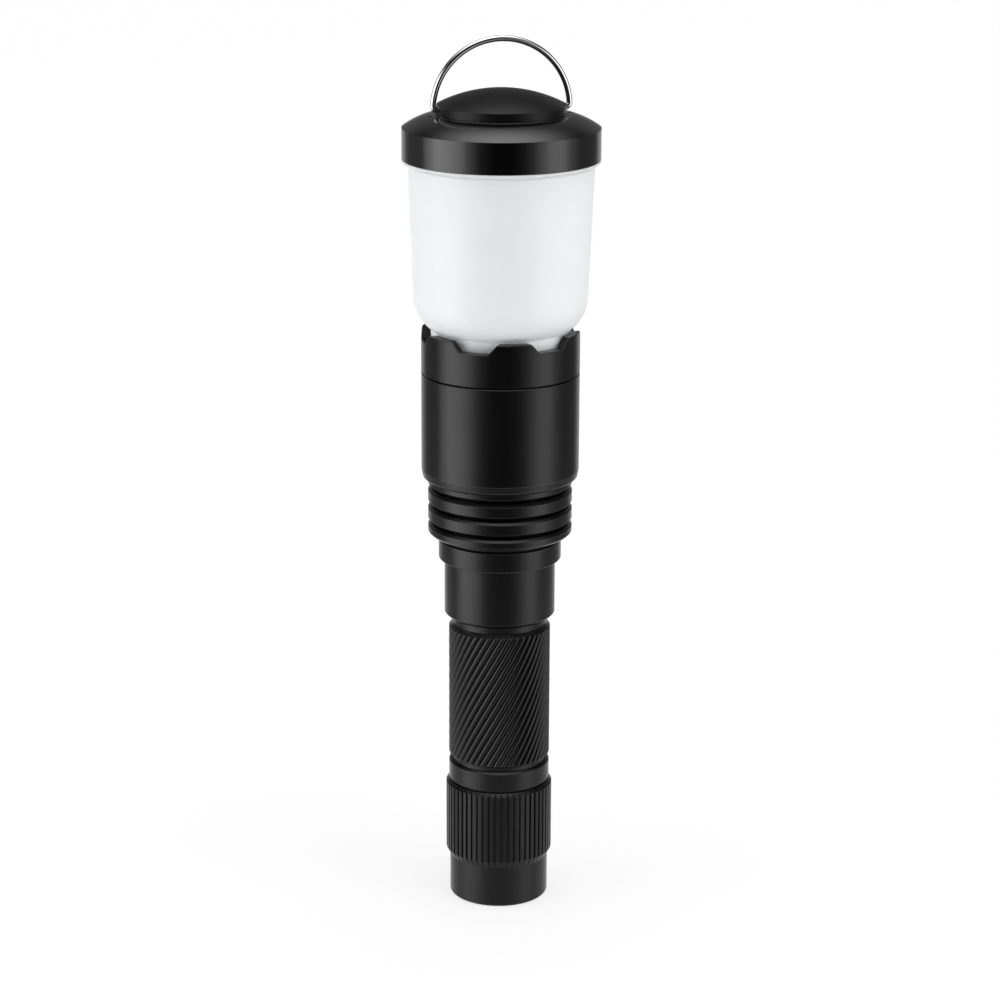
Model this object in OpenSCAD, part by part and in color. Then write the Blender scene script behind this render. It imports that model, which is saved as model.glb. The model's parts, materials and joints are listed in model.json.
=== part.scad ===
// Zoomable tail-switch flashlight that stands on its tail cap, with a push-in
// lantern diffuser and a folding wire bail. Millimetres, +Z up the long axis,
// origin at the centre of the tail cap's foot. The bail's pivots lie along X.

/* [Battery] */
// Diameter of the battery cell
battery_d = 18.5; // [14:0.1:24]
// Length of the battery cell
battery_len = 65; // [50:1:80]
// Gap all round between the cell and the bore
battery_gap = 0.35; // [0.2:0.05:0.6]

/* [Tail cap] */
// Wall of the ribbed part over the tail thread
tail_wall = 1.6; // [1.2:0.1:4]
// Height of the tail cap
tail_len = 31.8; // [30:0.2:40]
// How far the plain skirt stands out past the tail thread
skirt_wall = 0.6; // [0.3:0.1:1]
// Height of the plain skirt
skirt_h = 10.9; // [8:0.1:14]
// Number of straight grip ribs
rib_count = 54; // [24:1:60]
// Depth of the grooves between the ribs
rib_depth = 0.45; // [0.2:0.05:0.6]
// Depth of the recess in the foot
foot_recess = 2.2; // [1.5:0.1:3]
// Width of the ring that the light stands on
foot_rim = 1.7; // [1.2:0.1:2]
// Thickness of the floor that holds the rubber boot
tail_floor = 2.8; // [2:0.1:4]

/* [Switch] */
// Diameter of the rubber boot where it shows
boot_d = 14.8; // [10:0.2:16]
// Wall of the rubber boot
boot_wall = 1.1; // [0.8:0.1:1.6]
// Thickness of the boot's flange
boot_flange_h = 1.1; // [0.8:0.1:1.6]
// How far the button travels
press_travel = 1.6; // [1:0.1:2]
// Diameter of the switch plunger
plunger_d = 5.8; // [4:0.2:7]
// Diameter of the switch body
switch_d = 10; // [9:0.5:12]
// Height of the switch body
switch_h = 7.2; // [6:0.2:9]
// Thickness of the tail circuit board
tail_board_h = 1.4; // [1:0.1:2]
// Height of the threaded ring over the tail board
tail_ring_h = 2; // [1.5:0.1:3]

/* [Battery tube] */
// Wall of the grip
grip_wall = 3.5; // [3.2:0.1:8]
// How much longer the cell is than the grip
cell_past_grip = 30.7; // [28:0.1:40]
// Wall at the two turned grooves
groove_wall = 2.5; // [2:0.1:3]
// Wall of the plain ring above the tail cap
ring_wall = 3.45; // [3:0.05:8]
// Height of the plain ring
ring_len = 5.2; // [3:0.1:8]
// Wall of the plain neck
neck_wall = 4.6; // [4:0.1:8]
// Height of the plain neck
neck_len = 15.5; // [8:0.5:24]
// Wall at the tube's tail thread
tail_thread_wall = 2.6; // [2.4:0.1:3]
// Wall at the tube's front thread
front_thread_wall = 3.25; // [2.8:0.05:3.6]
// Length of the tube's front thread
front_thread_len = 9.2; // [6:0.2:12]

/* [Heat sink] */
// Wall of the collar over the front thread
collar_wall = 2.85; // [2:0.05:5]
// Height of the collar
collar_len = 5; // [4:0.2:8]
// How much narrower the cooling fins are than the head shell
fin_inset = 3.3; // [2:0.1:4]
// Height of a cooling fin
fin_h = 3.9; // [2:0.1:5]
// Height of the lowest cooling fin
low_fin_h = 2.75; // [2:0.05:4]
// Height of the fin that the head comes down on
stop_fin_h = 1.85; // [1.2:0.05:3]
// Gap between the cooling fins
fin_gap = 0.7; // [0.5:0.1:1.5]
// Wall between the front thread and the fin gaps
fin_root_wall = 2.75; // [2:0.05:3]

/* [Lamp] */
// Diameter of the pill that carries the LED
pill_d = 27.9; // [26:0.1:28]
// Height of the pill
pill_len = 24; // [18:0.5:24]
// Thickness of the pill's top
pill_top = 3; // [2:0.1:4]
// Diameter of the driver board
driver_d = 22.8; // [20:0.2:23]
// Diameter of the LED board
led_board_d = 20; // [16:0.5:22]
// Width of the LED package
led_w = 5; // [3:0.5:7]

/* [Head] */
// Diameter of the head
head_d = 40.1; // [40:0.1:46]
// Height of the sliding head shell
head_len = 27.6; // [26:0.2:36]
// Wall of the head shell over its sliding bore
head_wall = 1.55; // [1.4:0.05:2]
// How far the head slides out to focus
zoom_travel = 8; // [4:0.5:9]
// Height of the lip that keeps the head on
lip_h = 2.2; // [1.6:0.1:3]
// Height of the strike bezel above the head shell
bezel_len = 10.85; // [9:0.05:16]
// Number of teeth on the strike bezel
tooth_count = 6; // [4:1:8]
// Depth of the gaps between the teeth
tooth_h = 2.45; // [1.5:0.05:3]
// Width of a gap between teeth at its mouth
tooth_gap_w = 11.8; // [6:0.1:12]
// Width of a gap between teeth at its floor
tooth_floor_w = 7.4; // [4:0.1:8]
// Turn of the teeth about the long axis
tooth_turn = -3; // [-30:1:30]
// Height of the lens above its rim
lens_rise = 10.8; // [7:0.1:11]

/* [Lantern] */
// Wall of the bezel round the diffuser's neck
bezel_wall = 2.85; // [2.8:0.05:4]
// Depth of the diffuser's neck inside the bezel
spout_len = 11.6; // [9:0.1:11.8]
// Diameter of the diffuser at its foot
diffuser_low_d = 43.9; // [40:0.1:46]
// Diameter of the diffuser under the cap
diffuser_top_d = 46.5; // [42:0.1:48]
// Height of the diffuser from the teeth to the cap
diffuser_len = 42.7; // [30:0.1:70]
// Radius of the diffuser's rounded foot
diffuser_round = 10.3; // [6:0.1:12]
// Wall of the diffuser
diffuser_wall = 1.6; // [1.2:0.1:2.4]
// Diameter of the cap
cap_d = 49.5; // [49:0.1:60]
// Height of the cap's upright side
cap_side_h = 7.85; // [7:0.05:14]
// Height of the cap's sloping shoulder
shoulder_h = 3.4; // [2:0.1:6]
// Radius of the shoulder's curve
shoulder_round = 20; // [12:1:40]
// Diameter of the dome
dome_d = 32.2; // [26:0.2:34]
// Height of the dome's upright edge
dome_side_h = 2.25; // [2.1:0.05:4]
// Rise of the dome above its edge
dome_rise = 3.9; // [2:0.1:8]

/* [Bail] */
// Diameter of the bail's wire
wire_d = 1.5; // [1.2:0.1:1.8]
// Gap between the bail and the edge of the dome
bail_gap = 0.45; // [0.3:0.05:2]

/* [Hidden] */
$fn = 96;

// Clearances
slide_gap = 0.05;     // radial gap of a turned part that slides or screws in another
seat_gap = 0.05;      // gap where a drop-in part sits in its pocket
face_gap = 0.2;       // gap between two faces that close on each other
spring_gap = 0.3;     // gap at the loose end of a spring
cut = 1;              // how far a cutter runs past the face it opens
edge = 0.4;           // small turned chamfer
seal_w = 1.5;         // section of the O-rings
seal_ease = 0.05;     // gap round an O-ring in its groove

// Diameters that follow from the cell and the head
bore_r = battery_d / 2 + battery_gap;
tail_thread_d = 2 * (bore_r + tail_thread_wall);
tail_d = tail_thread_d + 2 * tail_wall;
skirt_d = tail_thread_d + 2 * skirt_wall;
groove_d = 2 * (bore_r + groove_wall);
grip_d = 2 * (bore_r + grip_wall);
ring_d = 2 * (bore_r + ring_wall);
neck_d = 2 * (bore_r + neck_wall);
front_thread_d = 2 * (bore_r + front_thread_wall);
collar_d = front_thread_d + 2 * collar_wall;
fin_root_d = front_thread_d + 2 * fin_root_wall;
fin_d = head_d - fin_inset;
head_bore_d = head_d - 2 * head_wall;
spout_d = head_d - 2 * bezel_wall;
bail_d = dome_d + 2 * (bail_gap + wire_d);

// Switch, from the foot up
floor_top = foot_recess + tail_floor;
boot_tip = 0.9;
boot_hole_r = boot_d / 2 + 0.2;
chamber_r = tail_thread_d / 2 - 1.3;
module_r = chamber_r - seat_gap;
holder_z = floor_top + boot_flange_h;
switch_z = holder_z + 3.3;
tail_board_z = switch_z + switch_h;
tail_ring_z = tail_board_z + tail_board_h;
tail_spring_z = tail_ring_z;
plunger_z = boot_tip + boot_wall + 0.2;
plunger_head_r = plunger_d / 2 + 0.5;
switch_bore_top = switch_z + switch_h - 0.8;
plunger_top = switch_bore_top - press_travel - 2.2;

// Battery tube
grip_len = battery_len - cell_past_grip;
tube_z = tail_ring_z + tail_ring_h + 0.7;
ring_z = tail_len + 0.5;
low_groove_z = ring_z + ring_len;
groove_len = 1.7;
grip_z = low_groove_z + groove_len;
grip_top = grip_z + grip_len;
neck_z = grip_top + 1.6 + 1.8;
collar_z = neck_z + neck_len;
tube_top = collar_z + front_thread_len;
driver_z = tube_top + 0.7;
driver_h = 1.6;
battery_z = driver_z - 7.3 - battery_len;

// Heat sink
fins_z = collar_z + collar_len + 1.7;
second_fin_z = fins_z + low_fin_h + fin_gap;
fin_pitch = fin_h + fin_gap;
stop_fin_z = second_fin_z + 2 * fin_pitch;
barrel_z = stop_fin_z + stop_fin_h;
fin_edge = 0.65;
head_z = barrel_z + face_gap;
barrel_d = head_bore_d - 2;
flange_z = head_z + lip_h + zoom_travel + 0.4;
flange_h = 5.2;
sink_top = flange_z + flange_h;
flange_d = head_bore_d - 4 * slide_gap;
pill_z = driver_z - 0.3;
pill_end = pill_z + pill_len;
led_board_h = 1.6;

// Head
head_top = head_z + head_len;
bezel_z = head_top + 0.1;
bezel_top = bezel_z + bezel_len;
head_thread_r = head_d / 2 - 1.15;
skirt_len = 10.1;
skirt_z = bezel_z - skirt_len;
skirt_bore_r = head_thread_r - slide_gap - 0.9;
lens_ring_h = 1.9;
lens_rim_z = skirt_z + lens_ring_h + 0.4;
lens_rim_h = 1.8;
lens_seal_z = lens_rim_z + lens_rim_h;
ledge_z = lens_seal_z + 1.1;
ledge_h = 1.4;
lens_r = skirt_bore_r - 1.5;
lens_ball_r = (lens_r * lens_r + lens_rise * lens_rise) / (2 * lens_rise);
tooth_floor_z = bezel_top - tooth_h;
socket_r = spout_d / 2 + slide_gap + 0.03;
mouth_r = socket_r + 0.47;

// Lantern, from the teeth up
spout_ledge_z = tooth_floor_z - 0.25;
spout_z = spout_ledge_z - spout_len;
foot_r = mouth_r - 0.15;
foot_z = bezel_top + 0.25;
rim_z = foot_z + diffuser_len;
rim_h = 0.8;
cap_r = cap_d / 2;
cap_wall = 1.8;
cap_top_h = 2.4;
spigot_r = cap_r - cap_wall - seat_gap;
cap_shoulder_z = rim_z + cap_side_h;
dome_r = dome_d / 2;
dome_edge_z = cap_shoulder_z + shoulder_h;
dome_z = dome_edge_z - 0.4;
cap_roof_z = dome_z - cap_top_h;
spigot_top = cap_roof_z - 2.5;
dome_side_top = dome_edge_z + dome_side_h;
dome_ball_r = (dome_r * dome_r + dome_rise * dome_rise) / (2 * dome_rise);
pivot_z = dome_edge_z + dome_side_h / 2;
wire_r = wire_d / 2;
bail_r = bail_d / 2 - wire_r;
bail_end_x = dome_r - 3;
bail_hole_x = bail_end_x - 0.5;
cone_tip_z = spigot_top - 12.5;
cone_r = spigot_r - diffuser_wall - 0.4;
cone_flange_h = 1.3;
cone_wall = 1.5;
screw_r = 1.5;
screw_head_h = 1.9;
screw_top = dome_edge_z + dome_side_h + 0.6;

// Points of an arc about (x, y), from angle a to angle b in n steps
function arc(x, y, r, a, b, n = 8) = [
    for (i = [0 : n]) let (t = a + (b - a) * i / n) [x + r * cos(t), y + r * sin(t)]
];
// Centre of the arc of radius r through p and q that bulges to the left of p -> q
function arc_centre(p, q, r) =
    let (m = (p + q) / 2, d = q - p, l = norm(d), h = sqrt(r * r - l * l / 4)) m + [d[1], -d[0]] / l * h;
function angle_from(c, p) = atan2(p[1] - c[1], p[0] - c[0]);

// Solid of revolution from an outline in (radius, height)
module turned(outline) {
    rotate_extrude() polygon(outline);
}

// Plain tube standing at height z
module tube(r_out, r_in, z, h) {
    translate([0, 0, z]) difference() {
        cylinder(r = r_out, h = h);
        translate([0, 0, -cut]) cylinder(r = r_in, h = h + 2 * cut);
    }
}

// Round bar standing at height z
module bar(r, z, h) {
    translate([0, 0, z]) cylinder(r = r, h = h);
}

// O-ring whose section is centred at radius r and height z
module seal_ring(r, z, w = seal_w) {
    translate([0, 0, z]) rotate_extrude() translate([r, 0]) circle(d = w, $fn = 24);
}

// Compression spring of wire w standing from z, swept along its own helix
module coil(r, w, z, h, turns) {
    steps = 20;
    sides = 8;
    rings = turns * steps;
    rise = h - w;
    path = [for (i = [0 : rings]) let (t = 360 * i / steps) [r * cos(t), r * sin(t), z + w / 2 + rise * i / rings]];
    pts = [
        for (i = [0 : rings], j = [0 : sides - 1])
            let (t = 360 * i / steps, a = 360 * j / sides, d = w / 2 * cos(a))
            path[i] + [d * cos(t), d * sin(t), w / 2 * sin(a)]
    ];
    walls = [
        for (i = [0 : rings - 1], j = [0 : sides - 1])
            let (k = (j + 1) % sides)
            [i * sides + j, i * sides + k, (i + 1) * sides + k, (i + 1) * sides + j]
    ];
    ends = [
        [for (j = [sides - 1 : -1 : 0]) j],
        [for (j = [0 : sides - 1]) rings * sides + j]
    ];
    polyhedron(points = pts, faces = concat(walls, ends), convexity = 6);
}

// ---- Tail cap and switch ----

// Round bar with straight grooves all round
module ribbed_bar(r, h, count, depth) {
    pitch = 360 / count;
    half = r * sin(pitch) * 0.24;
    linear_extrude(h) difference() {
        circle(r = r);
        for (i = [0 : count - 1]) rotate(i * pitch)
            polygon([[r - depth, -half * 0.35], [r + cut, -half * 1.8], [r + cut, half * 1.8], [r - depth, half * 0.35]]);
    }
}

module tail_cap() {
    r = tail_d / 2;
    skirt_r = skirt_d / 2;
    rim_r = skirt_r - foot_rim;
    thread_r = tail_thread_d / 2 + slide_gap;
    thread_z = tail_ring_z + tail_ring_h + 0.4;
    color("#1a1a1b") difference() {
        union() {
            intersection() {
                translate([0, 0, skirt_h - cut]) ribbed_bar(r, tail_len - skirt_h + cut, rib_count, rib_depth);
                turned([
                    [0, skirt_h - cut], [skirt_r - 1, skirt_h - cut], [skirt_r, skirt_h], [r, skirt_h + 1.8],
                    [r, tail_len - 1], [r - 0.6, tail_len], [0, tail_len]
                ]);
            }
            turned([[0, 0], [skirt_r - 0.8, 0], [skirt_r - 0.2, 0.25], [skirt_r, 0.8], [skirt_r, skirt_h + 0.2], [0, skirt_h + 0.2]]);
        }
        bar(rim_r, -cut, foot_recess + cut);
        bar(boot_hole_r, 0, floor_top + cut);
        bar(chamber_r, floor_top, tail_len);
        bar(thread_r, thread_z, tail_len);
    }
}

module switch_boot() {
    r = boot_d / 2;
    crown = 1.7;
    ball = (r * r + crown * crown) / (2 * crown);
    inner_r = r - boot_wall;
    side_z = boot_tip + crown;
    lean = asin(r / ball);
    color("#202020") turned(concat(
        [[module_r, floor_top], [module_r, floor_top + boot_flange_h], [inner_r, floor_top + boot_flange_h]],
        [[inner_r, side_z + 0.2], [plunger_head_r + 0.4, boot_tip + boot_wall], [0, boot_tip + boot_wall]],
        arc(0, boot_tip + ball, ball, -90, -90 + lean),
        [[r, floor_top]]
    ));
}

module switch_plunger() {
    color("#e4e0d4") turned([
        [0, plunger_z], [plunger_head_r, plunger_z], [plunger_head_r, plunger_z + 1.2],
        [plunger_d / 2, plunger_z + 1.2], [plunger_d / 2, plunger_top], [0, plunger_top]
    ]);
}

module switch_spring() {
    color("silver") coil(plunger_d / 2 - 0.7, 0.4, plunger_top + 0.1, switch_bore_top - plunger_top - 0.2, 4);
}

module switch_body() {
    color("#b9352c") difference() {
        bar(switch_d / 2, switch_z, switch_h);
        bar(plunger_d / 2 + 0.08, switch_z - cut, switch_bore_top - switch_z + cut);
    }
}

module switch_holder() {
    color("#e8e8e4") difference() {
        bar(module_r, holder_z, tail_board_z - holder_z);
        bar(boot_d / 2 - boot_wall, holder_z - cut, switch_z - holder_z + cut);
        bar(switch_d / 2 + seat_gap, switch_z - cut, tail_board_z);
    }
}

module tail_board() {
    color("#1d6b3c") bar(module_r, tail_board_z, tail_board_h);
}

module tail_ring() {
    color("#b08d4a") tube(module_r, module_r - 2.8, tail_ring_z, tail_ring_h);
}

module tail_spring() {
    color("#c9a85c") coil(4.6, 0.9, tail_spring_z, battery_z - spring_gap - tail_spring_z, 6);
}

// ---- Battery and its tube ----

module battery() {
    r = battery_d / 2;
    top = battery_z + battery_len;
    color("#2f5f9e") turned([
        [0, battery_z], [r - 0.5, battery_z], [r, battery_z + 0.5], [r, top - 0.8],
        [r - 0.6, top - 0.4], [6, top - 0.4], [6, top], [0, top]
    ]);
}

// Height of the seal on the tube's tail thread, and of the one at the neck
tail_seal_z = ring_z - 0.4 - seal_w / 2;
neck_seal_z = collar_z + 0.4 + seal_w / 2;

module battery_tube() {
    ring_r = ring_d / 2;
    groove_r = groove_d / 2;
    grip_r = grip_d / 2;
    neck_r = neck_d / 2;
    tail_r = tail_thread_d / 2;
    front_r = front_thread_d / 2;
    depth = seal_w + seal_ease;
    half = seal_w / 2 + seal_ease;
    color("#1a1a1b") difference() {
        turned([
            [bore_r, tube_z], [tail_r - edge, tube_z], [tail_r, tube_z + edge],
            [tail_r, tail_seal_z - half], [tail_r - depth, tail_seal_z - half],
            [tail_r - depth, tail_seal_z + half], [tail_r, tail_seal_z + half], [tail_r, ring_z],
            [ring_r, ring_z], [ring_r, low_groove_z - edge], [ring_r - edge, low_groove_z],
            [groove_r, low_groove_z], [groove_r, grip_z - edge], [grip_r, grip_z],
            [grip_r, grip_top], [groove_r, grip_top + 1.6], [groove_r, neck_z], [neck_r - edge, neck_z],
            [neck_r, neck_z + edge], [neck_r, collar_z],
            [front_r, collar_z], [front_r, neck_seal_z - half], [front_r - depth, neck_seal_z - half],
            [front_r - depth, neck_seal_z + half], [front_r, neck_seal_z + half],
            [front_r, tube_top - edge], [front_r - edge, tube_top], [bore_r, tube_top]
        ]);
    }
}

module tube_seals() {
    color("#0c0c0c") {
        seal_ring(tail_thread_d / 2 - seal_w / 2, tail_seal_z);
        seal_ring(front_thread_d / 2 - seal_w / 2, neck_seal_z);
    }
}

// ---- Heat sink and lamp ----

// Outline of one fin between heights a and b, with chamfered rims
function fin_edge_points(r, a, b) = [
    [fin_root_d / 2, a], [r - fin_edge, a], [r, a + fin_edge], [r, b - fin_edge], [r - fin_edge, b], [fin_root_d / 2, b]
];

zoom_seal_z = [flange_z + 1.5, sink_top - 1.5];

module heat_sink() {
    r = fin_d / 2;
    collar_r = collar_d / 2;
    front_bore = front_thread_d / 2 + slide_gap;
    pill_bore = pill_d / 2 + seat_gap;
    depth = seal_w + seal_ease - (head_bore_d - flange_d) / 2 + slide_gap;
    half = seal_w / 2 + seal_ease;
    flange_r = flange_d / 2;
    color("#1a1a1b") difference() {
        turned(concat(
            [
                [front_bore, collar_z], [collar_r - edge, collar_z], [collar_r, collar_z + edge],
                [collar_r, collar_z + collar_len], [collar_r - 0.5, collar_z + collar_len + 0.6]
            ],
            fin_edge_points(r, fins_z, fins_z + low_fin_h),
            fin_edge_points(r, second_fin_z, second_fin_z + fin_h),
            fin_edge_points(r, second_fin_z + fin_pitch, second_fin_z + fin_pitch + fin_h),
            [
                [fin_root_d / 2, stop_fin_z], [r - fin_edge, stop_fin_z], [r, stop_fin_z + fin_edge],
                [r, barrel_z], [barrel_d / 2, barrel_z], [barrel_d / 2, flange_z]
            ],
            [
                [flange_r, flange_z], [flange_r, zoom_seal_z[0] - half], [flange_r - depth, zoom_seal_z[0] - half],
                [flange_r - depth, zoom_seal_z[0] + half], [flange_r, zoom_seal_z[0] + half],
                [flange_r, zoom_seal_z[1] - half], [flange_r - depth, zoom_seal_z[1] - half],
                [flange_r - depth, zoom_seal_z[1] + half], [flange_r, zoom_seal_z[1] + half],
                [flange_r, sink_top - edge], [flange_r - edge, sink_top]
            ],
            [[pill_bore, sink_top], [pill_bore, pill_z - 0.1], [front_bore, pill_z - 0.1]]
        ));
    }
}

module zoom_seals() {
    color("#0c0c0c") for (z = zoom_seal_z) seal_ring(head_bore_d / 2 - slide_gap - seal_w / 2, z);
}

lead_x = 6.2;
lead_r = 0.5;

module pill() {
    r = pill_d / 2;
    seat_r = driver_d / 2 + seat_gap;
    color("#b8924a") difference() {
        bar(r, pill_z, pill_len);
        bar(seat_r, pill_z - cut, driver_z + driver_h - pill_z + cut);
        bar(seat_r - 1, driver_z, pill_end - pill_top - driver_z);
        for (x = [-lead_x, lead_x]) translate([x, 0, 0]) bar(lead_r + 0.3, pill_end - pill_top - cut, pill_top + 2 * cut);
    }
}

module driver_board() {
    color("#1d6b3c") bar(driver_d / 2, driver_z, driver_h);
}

module driver_spring() {
    top = battery_z + battery_len + spring_gap;
    color("#c9a85c") coil(3.2, 0.8, top, driver_z - top, 4);
}

module led_leads() {
    low = driver_z + driver_h;
    color("#c22f2a") for (x = [-lead_x, lead_x]) translate([x, 0, 0]) bar(lead_r, low, pill_end - low);
}

module led_board() {
    color("#e9e9e6") bar(led_board_d / 2, pill_end, led_board_h);
}

module led_emitter() {
    color("#e8c93e") translate([0, 0, pill_end + led_board_h]) {
        translate([-led_w / 2, -led_w / 2, 0]) cube([led_w, led_w, 0.7]);
        translate([0, 0, 0.7]) intersection() {
            sphere(r = led_w * 0.42);
            cylinder(r = led_w, h = led_w);
        }
    }
}

// ---- Head ----

module head_shell() {
    r = head_d / 2;
    bore = head_bore_d / 2;
    color("#18181a") turned([
        [barrel_d / 2 + slide_gap, head_z], [r - 1, head_z], [r - 0.4, head_z + 0.2], [r - 0.15, head_z + 0.6],
        [r, head_z + 2.2], [r, head_top - edge], [r - edge, head_top], [head_thread_r, head_top],
        [head_thread_r, skirt_z - 0.3], [bore, skirt_z - 0.3], [bore, head_z + lip_h], [barrel_d / 2 + slide_gap, head_z + lip_h]
    ]);
}

module strike_bezel() {
    r = head_d / 2;
    skirt_r = head_thread_r - slide_gap;
    color("#18181a") difference() {
        turned([
            [skirt_bore_r, skirt_z], [skirt_r, skirt_z], [skirt_r, bezel_z], [r - edge, bezel_z], [r, bezel_z + edge],
            [r, bezel_top - 0.5], [r - 0.5, bezel_top], [mouth_r, bezel_top], [mouth_r, spout_ledge_z - 0.05],
            [socket_r, spout_ledge_z - 0.05], [socket_r, ledge_z + ledge_h], [lens_r + 0.4, ledge_z + ledge_h],
            [lens_r + 0.4, ledge_z], [skirt_bore_r, ledge_z]
        ]);
        for (i = [0 : tooth_count - 1]) rotate((i + 0.5) * 360 / tooth_count + tooth_turn - 90)
            translate([lens_r, 0, tooth_floor_z]) rotate([90, 0, 90]) linear_extrude(head_d)
                polygon([
                    [-tooth_floor_w / 2, 0], [tooth_floor_w / 2, 0], [tooth_gap_w / 2, tooth_h],
                    [tooth_gap_w / 2, tooth_h + cut], [-tooth_gap_w / 2, tooth_h + cut], [-tooth_gap_w / 2, tooth_h]
                ]);
    }
}

module lens() {
    ball_z = lens_seal_z + lens_rise - lens_ball_r;
    color("#dfeaf2", 0.6) union() {
        bar(skirt_bore_r - seat_gap, lens_rim_z, lens_rim_h);
        intersection() {
            translate([0, 0, ball_z]) sphere(r = lens_ball_r);
            bar(lens_r, lens_rim_z, lens_rise + lens_rim_h + cut);
        }
    }
}

module lens_seal() {
    w = ledge_z - lens_seal_z;
    color("#0c0c0c") seal_ring(skirt_bore_r - 0.1 - w / 2, lens_seal_z + w / 2, w);
}

module lens_ring() {
    color("#2a2a2c") tube(skirt_bore_r - slide_gap, skirt_bore_r - 2.4, lens_rim_z - lens_ring_h, lens_ring_h);
}

// ---- Lantern ----

module diffuser() {
    low_r = diffuser_low_d / 2;
    top_r = diffuser_top_d / 2;
    side_z = foot_z + sqrt(pow(diffuser_round, 2) - pow(foot_r - low_r + diffuser_round, 2));
    lean = acos((foot_r - low_r + diffuser_round) / diffuser_round);
    spout_r = spout_d / 2;
    wall = diffuser_wall;
    color("#f2f5f7") turned(concat(
        [[spout_r - wall, spout_z], [spout_r, spout_z], [spout_r, spout_ledge_z]],
        [[foot_r - 0.15, spout_ledge_z], [foot_r - 0.15, spout_ledge_z + 1.05], [foot_r, spout_ledge_z + 1.05]],
        arc(low_r - diffuser_round, side_z, diffuser_round, -lean, 0, 10),
        [
            [top_r, rim_z - rim_h - 0.5], [cap_r - 0.5, rim_z - rim_h - 0.1], [cap_r, rim_z - rim_h + 0.2],
            [cap_r, rim_z - 0.05], [spigot_r, rim_z - 0.05], [spigot_r, spigot_top], [spigot_r - wall, spigot_top],
            [spigot_r - wall, rim_z], [top_r - wall, rim_z - 2]
        ],
        arc(low_r - diffuser_round, side_z, diffuser_round - wall, 0, -lean, 10),
        [[spout_r - wall, spout_ledge_z]]
    ));
}

module reflector_cone() {
    flange_r = spigot_r - 0.2;
    low = spigot_top + 0.05;
    color("#eef0f0") difference() {
        union() {
            turned([
                [0, cone_tip_z], [4.6, cone_tip_z], [cone_r, low], [flange_r, low], [flange_r, low + cone_flange_h],
                [cone_r - 0.5, low + cone_flange_h], [5, cone_tip_z + cone_wall], [0, cone_tip_z + cone_wall]
            ]);
            bar(3.6, cone_tip_z, cap_roof_z - 0.05 - cone_tip_z);
        }
        bar(screw_r + 0.2, cone_tip_z - cut, spigot_top);
    }
}

module top_cap() {
    inner_r = cap_r - cap_wall;
    corner = [cap_r, cap_shoulder_z];
    seat = [dome_r + 0.4, dome_edge_z];
    c = arc_centre(seat, corner, shoulder_round);
    color("#141415") difference() {
        turned(concat(
            [[inner_r, rim_z], [cap_r - 0.15, rim_z], [cap_r, rim_z + 0.15], [cap_r, cap_shoulder_z - 0.15]],
            arc(c[0], c[1], shoulder_round, angle_from(c, corner) + 0.5, angle_from(c, seat), 8),
            [
                [dome_r + 0.02, dome_edge_z], [dome_r + 0.02, dome_z], [screw_r + 0.25, dome_z],
                [screw_r + 0.25, cap_roof_z], [inner_r, cap_roof_z]
            ]
        ));
        for (s = [-1, 1]) translate([s * (dome_r + 2.2), 0, pivot_z]) rotate([0, 90, 0])
            cylinder(r = wire_r + 0.85, h = 3.8, center = true);
    }
}

module cap_dome() {
    lean = asin(dome_r / dome_ball_r);
    color("#1e1e20") difference() {
        turned(concat(
            [[0, dome_z], [dome_r - 0.1, dome_z], [dome_r, dome_z + 0.3], [dome_r, dome_side_top]],
            arc(0, dome_side_top + dome_rise - dome_ball_r, dome_ball_r, 90 - lean, 90, 10)
        ));
        for (s = [-1, 1]) translate([s * (dome_r + bail_hole_x) / 2, 0, pivot_z]) rotate([0, 90, 0])
            cylinder(r = wire_r + slide_gap, h = dome_r - bail_hole_x + 0.01, center = true);
        bar(screw_r + 0.02, dome_z - cut, screw_top + 0.3 - dome_z + cut);
    }
}

module cap_screw() {
    color("silver") union() {
        bar(2.8, cone_tip_z - screw_head_h, screw_head_h);
        bar(screw_r, cone_tip_z - 0.1, screw_top - cone_tip_z + 0.1);
    }
}

module bail() {
    color("silver") translate([0, 0, pivot_z]) {
        rotate([90, 0, 0]) rotate_extrude(angle = 180) translate([bail_r, 0]) circle(r = wire_r, $fn = 24);
        for (s = [-1, 1]) {
            translate([s * (bail_r + bail_end_x) / 2, 0, 0]) rotate([0, 90, 0])
                cylinder(r = wire_r, h = bail_r - bail_end_x, center = true);
            translate([s * bail_r, 0, 0]) sphere(r = wire_r);
        }
    }
}

tail_cap();
switch_boot();
switch_plunger();
switch_spring();
switch_body();
switch_holder();
tail_board();
tail_ring();
tail_spring();
battery();
battery_tube();
tube_seals();
heat_sink();
zoom_seals();
pill();
driver_board();
driver_spring();
led_leads();
led_board();
led_emitter();
head_shell();
strike_bezel();
lens();
lens_seal();
lens_ring();
diffuser();
reflector_cone();
top_cap();
cap_dome();
cap_screw();
bail();
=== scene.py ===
import json
import math

import bpy
from mathutils import Matrix, Vector


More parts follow.
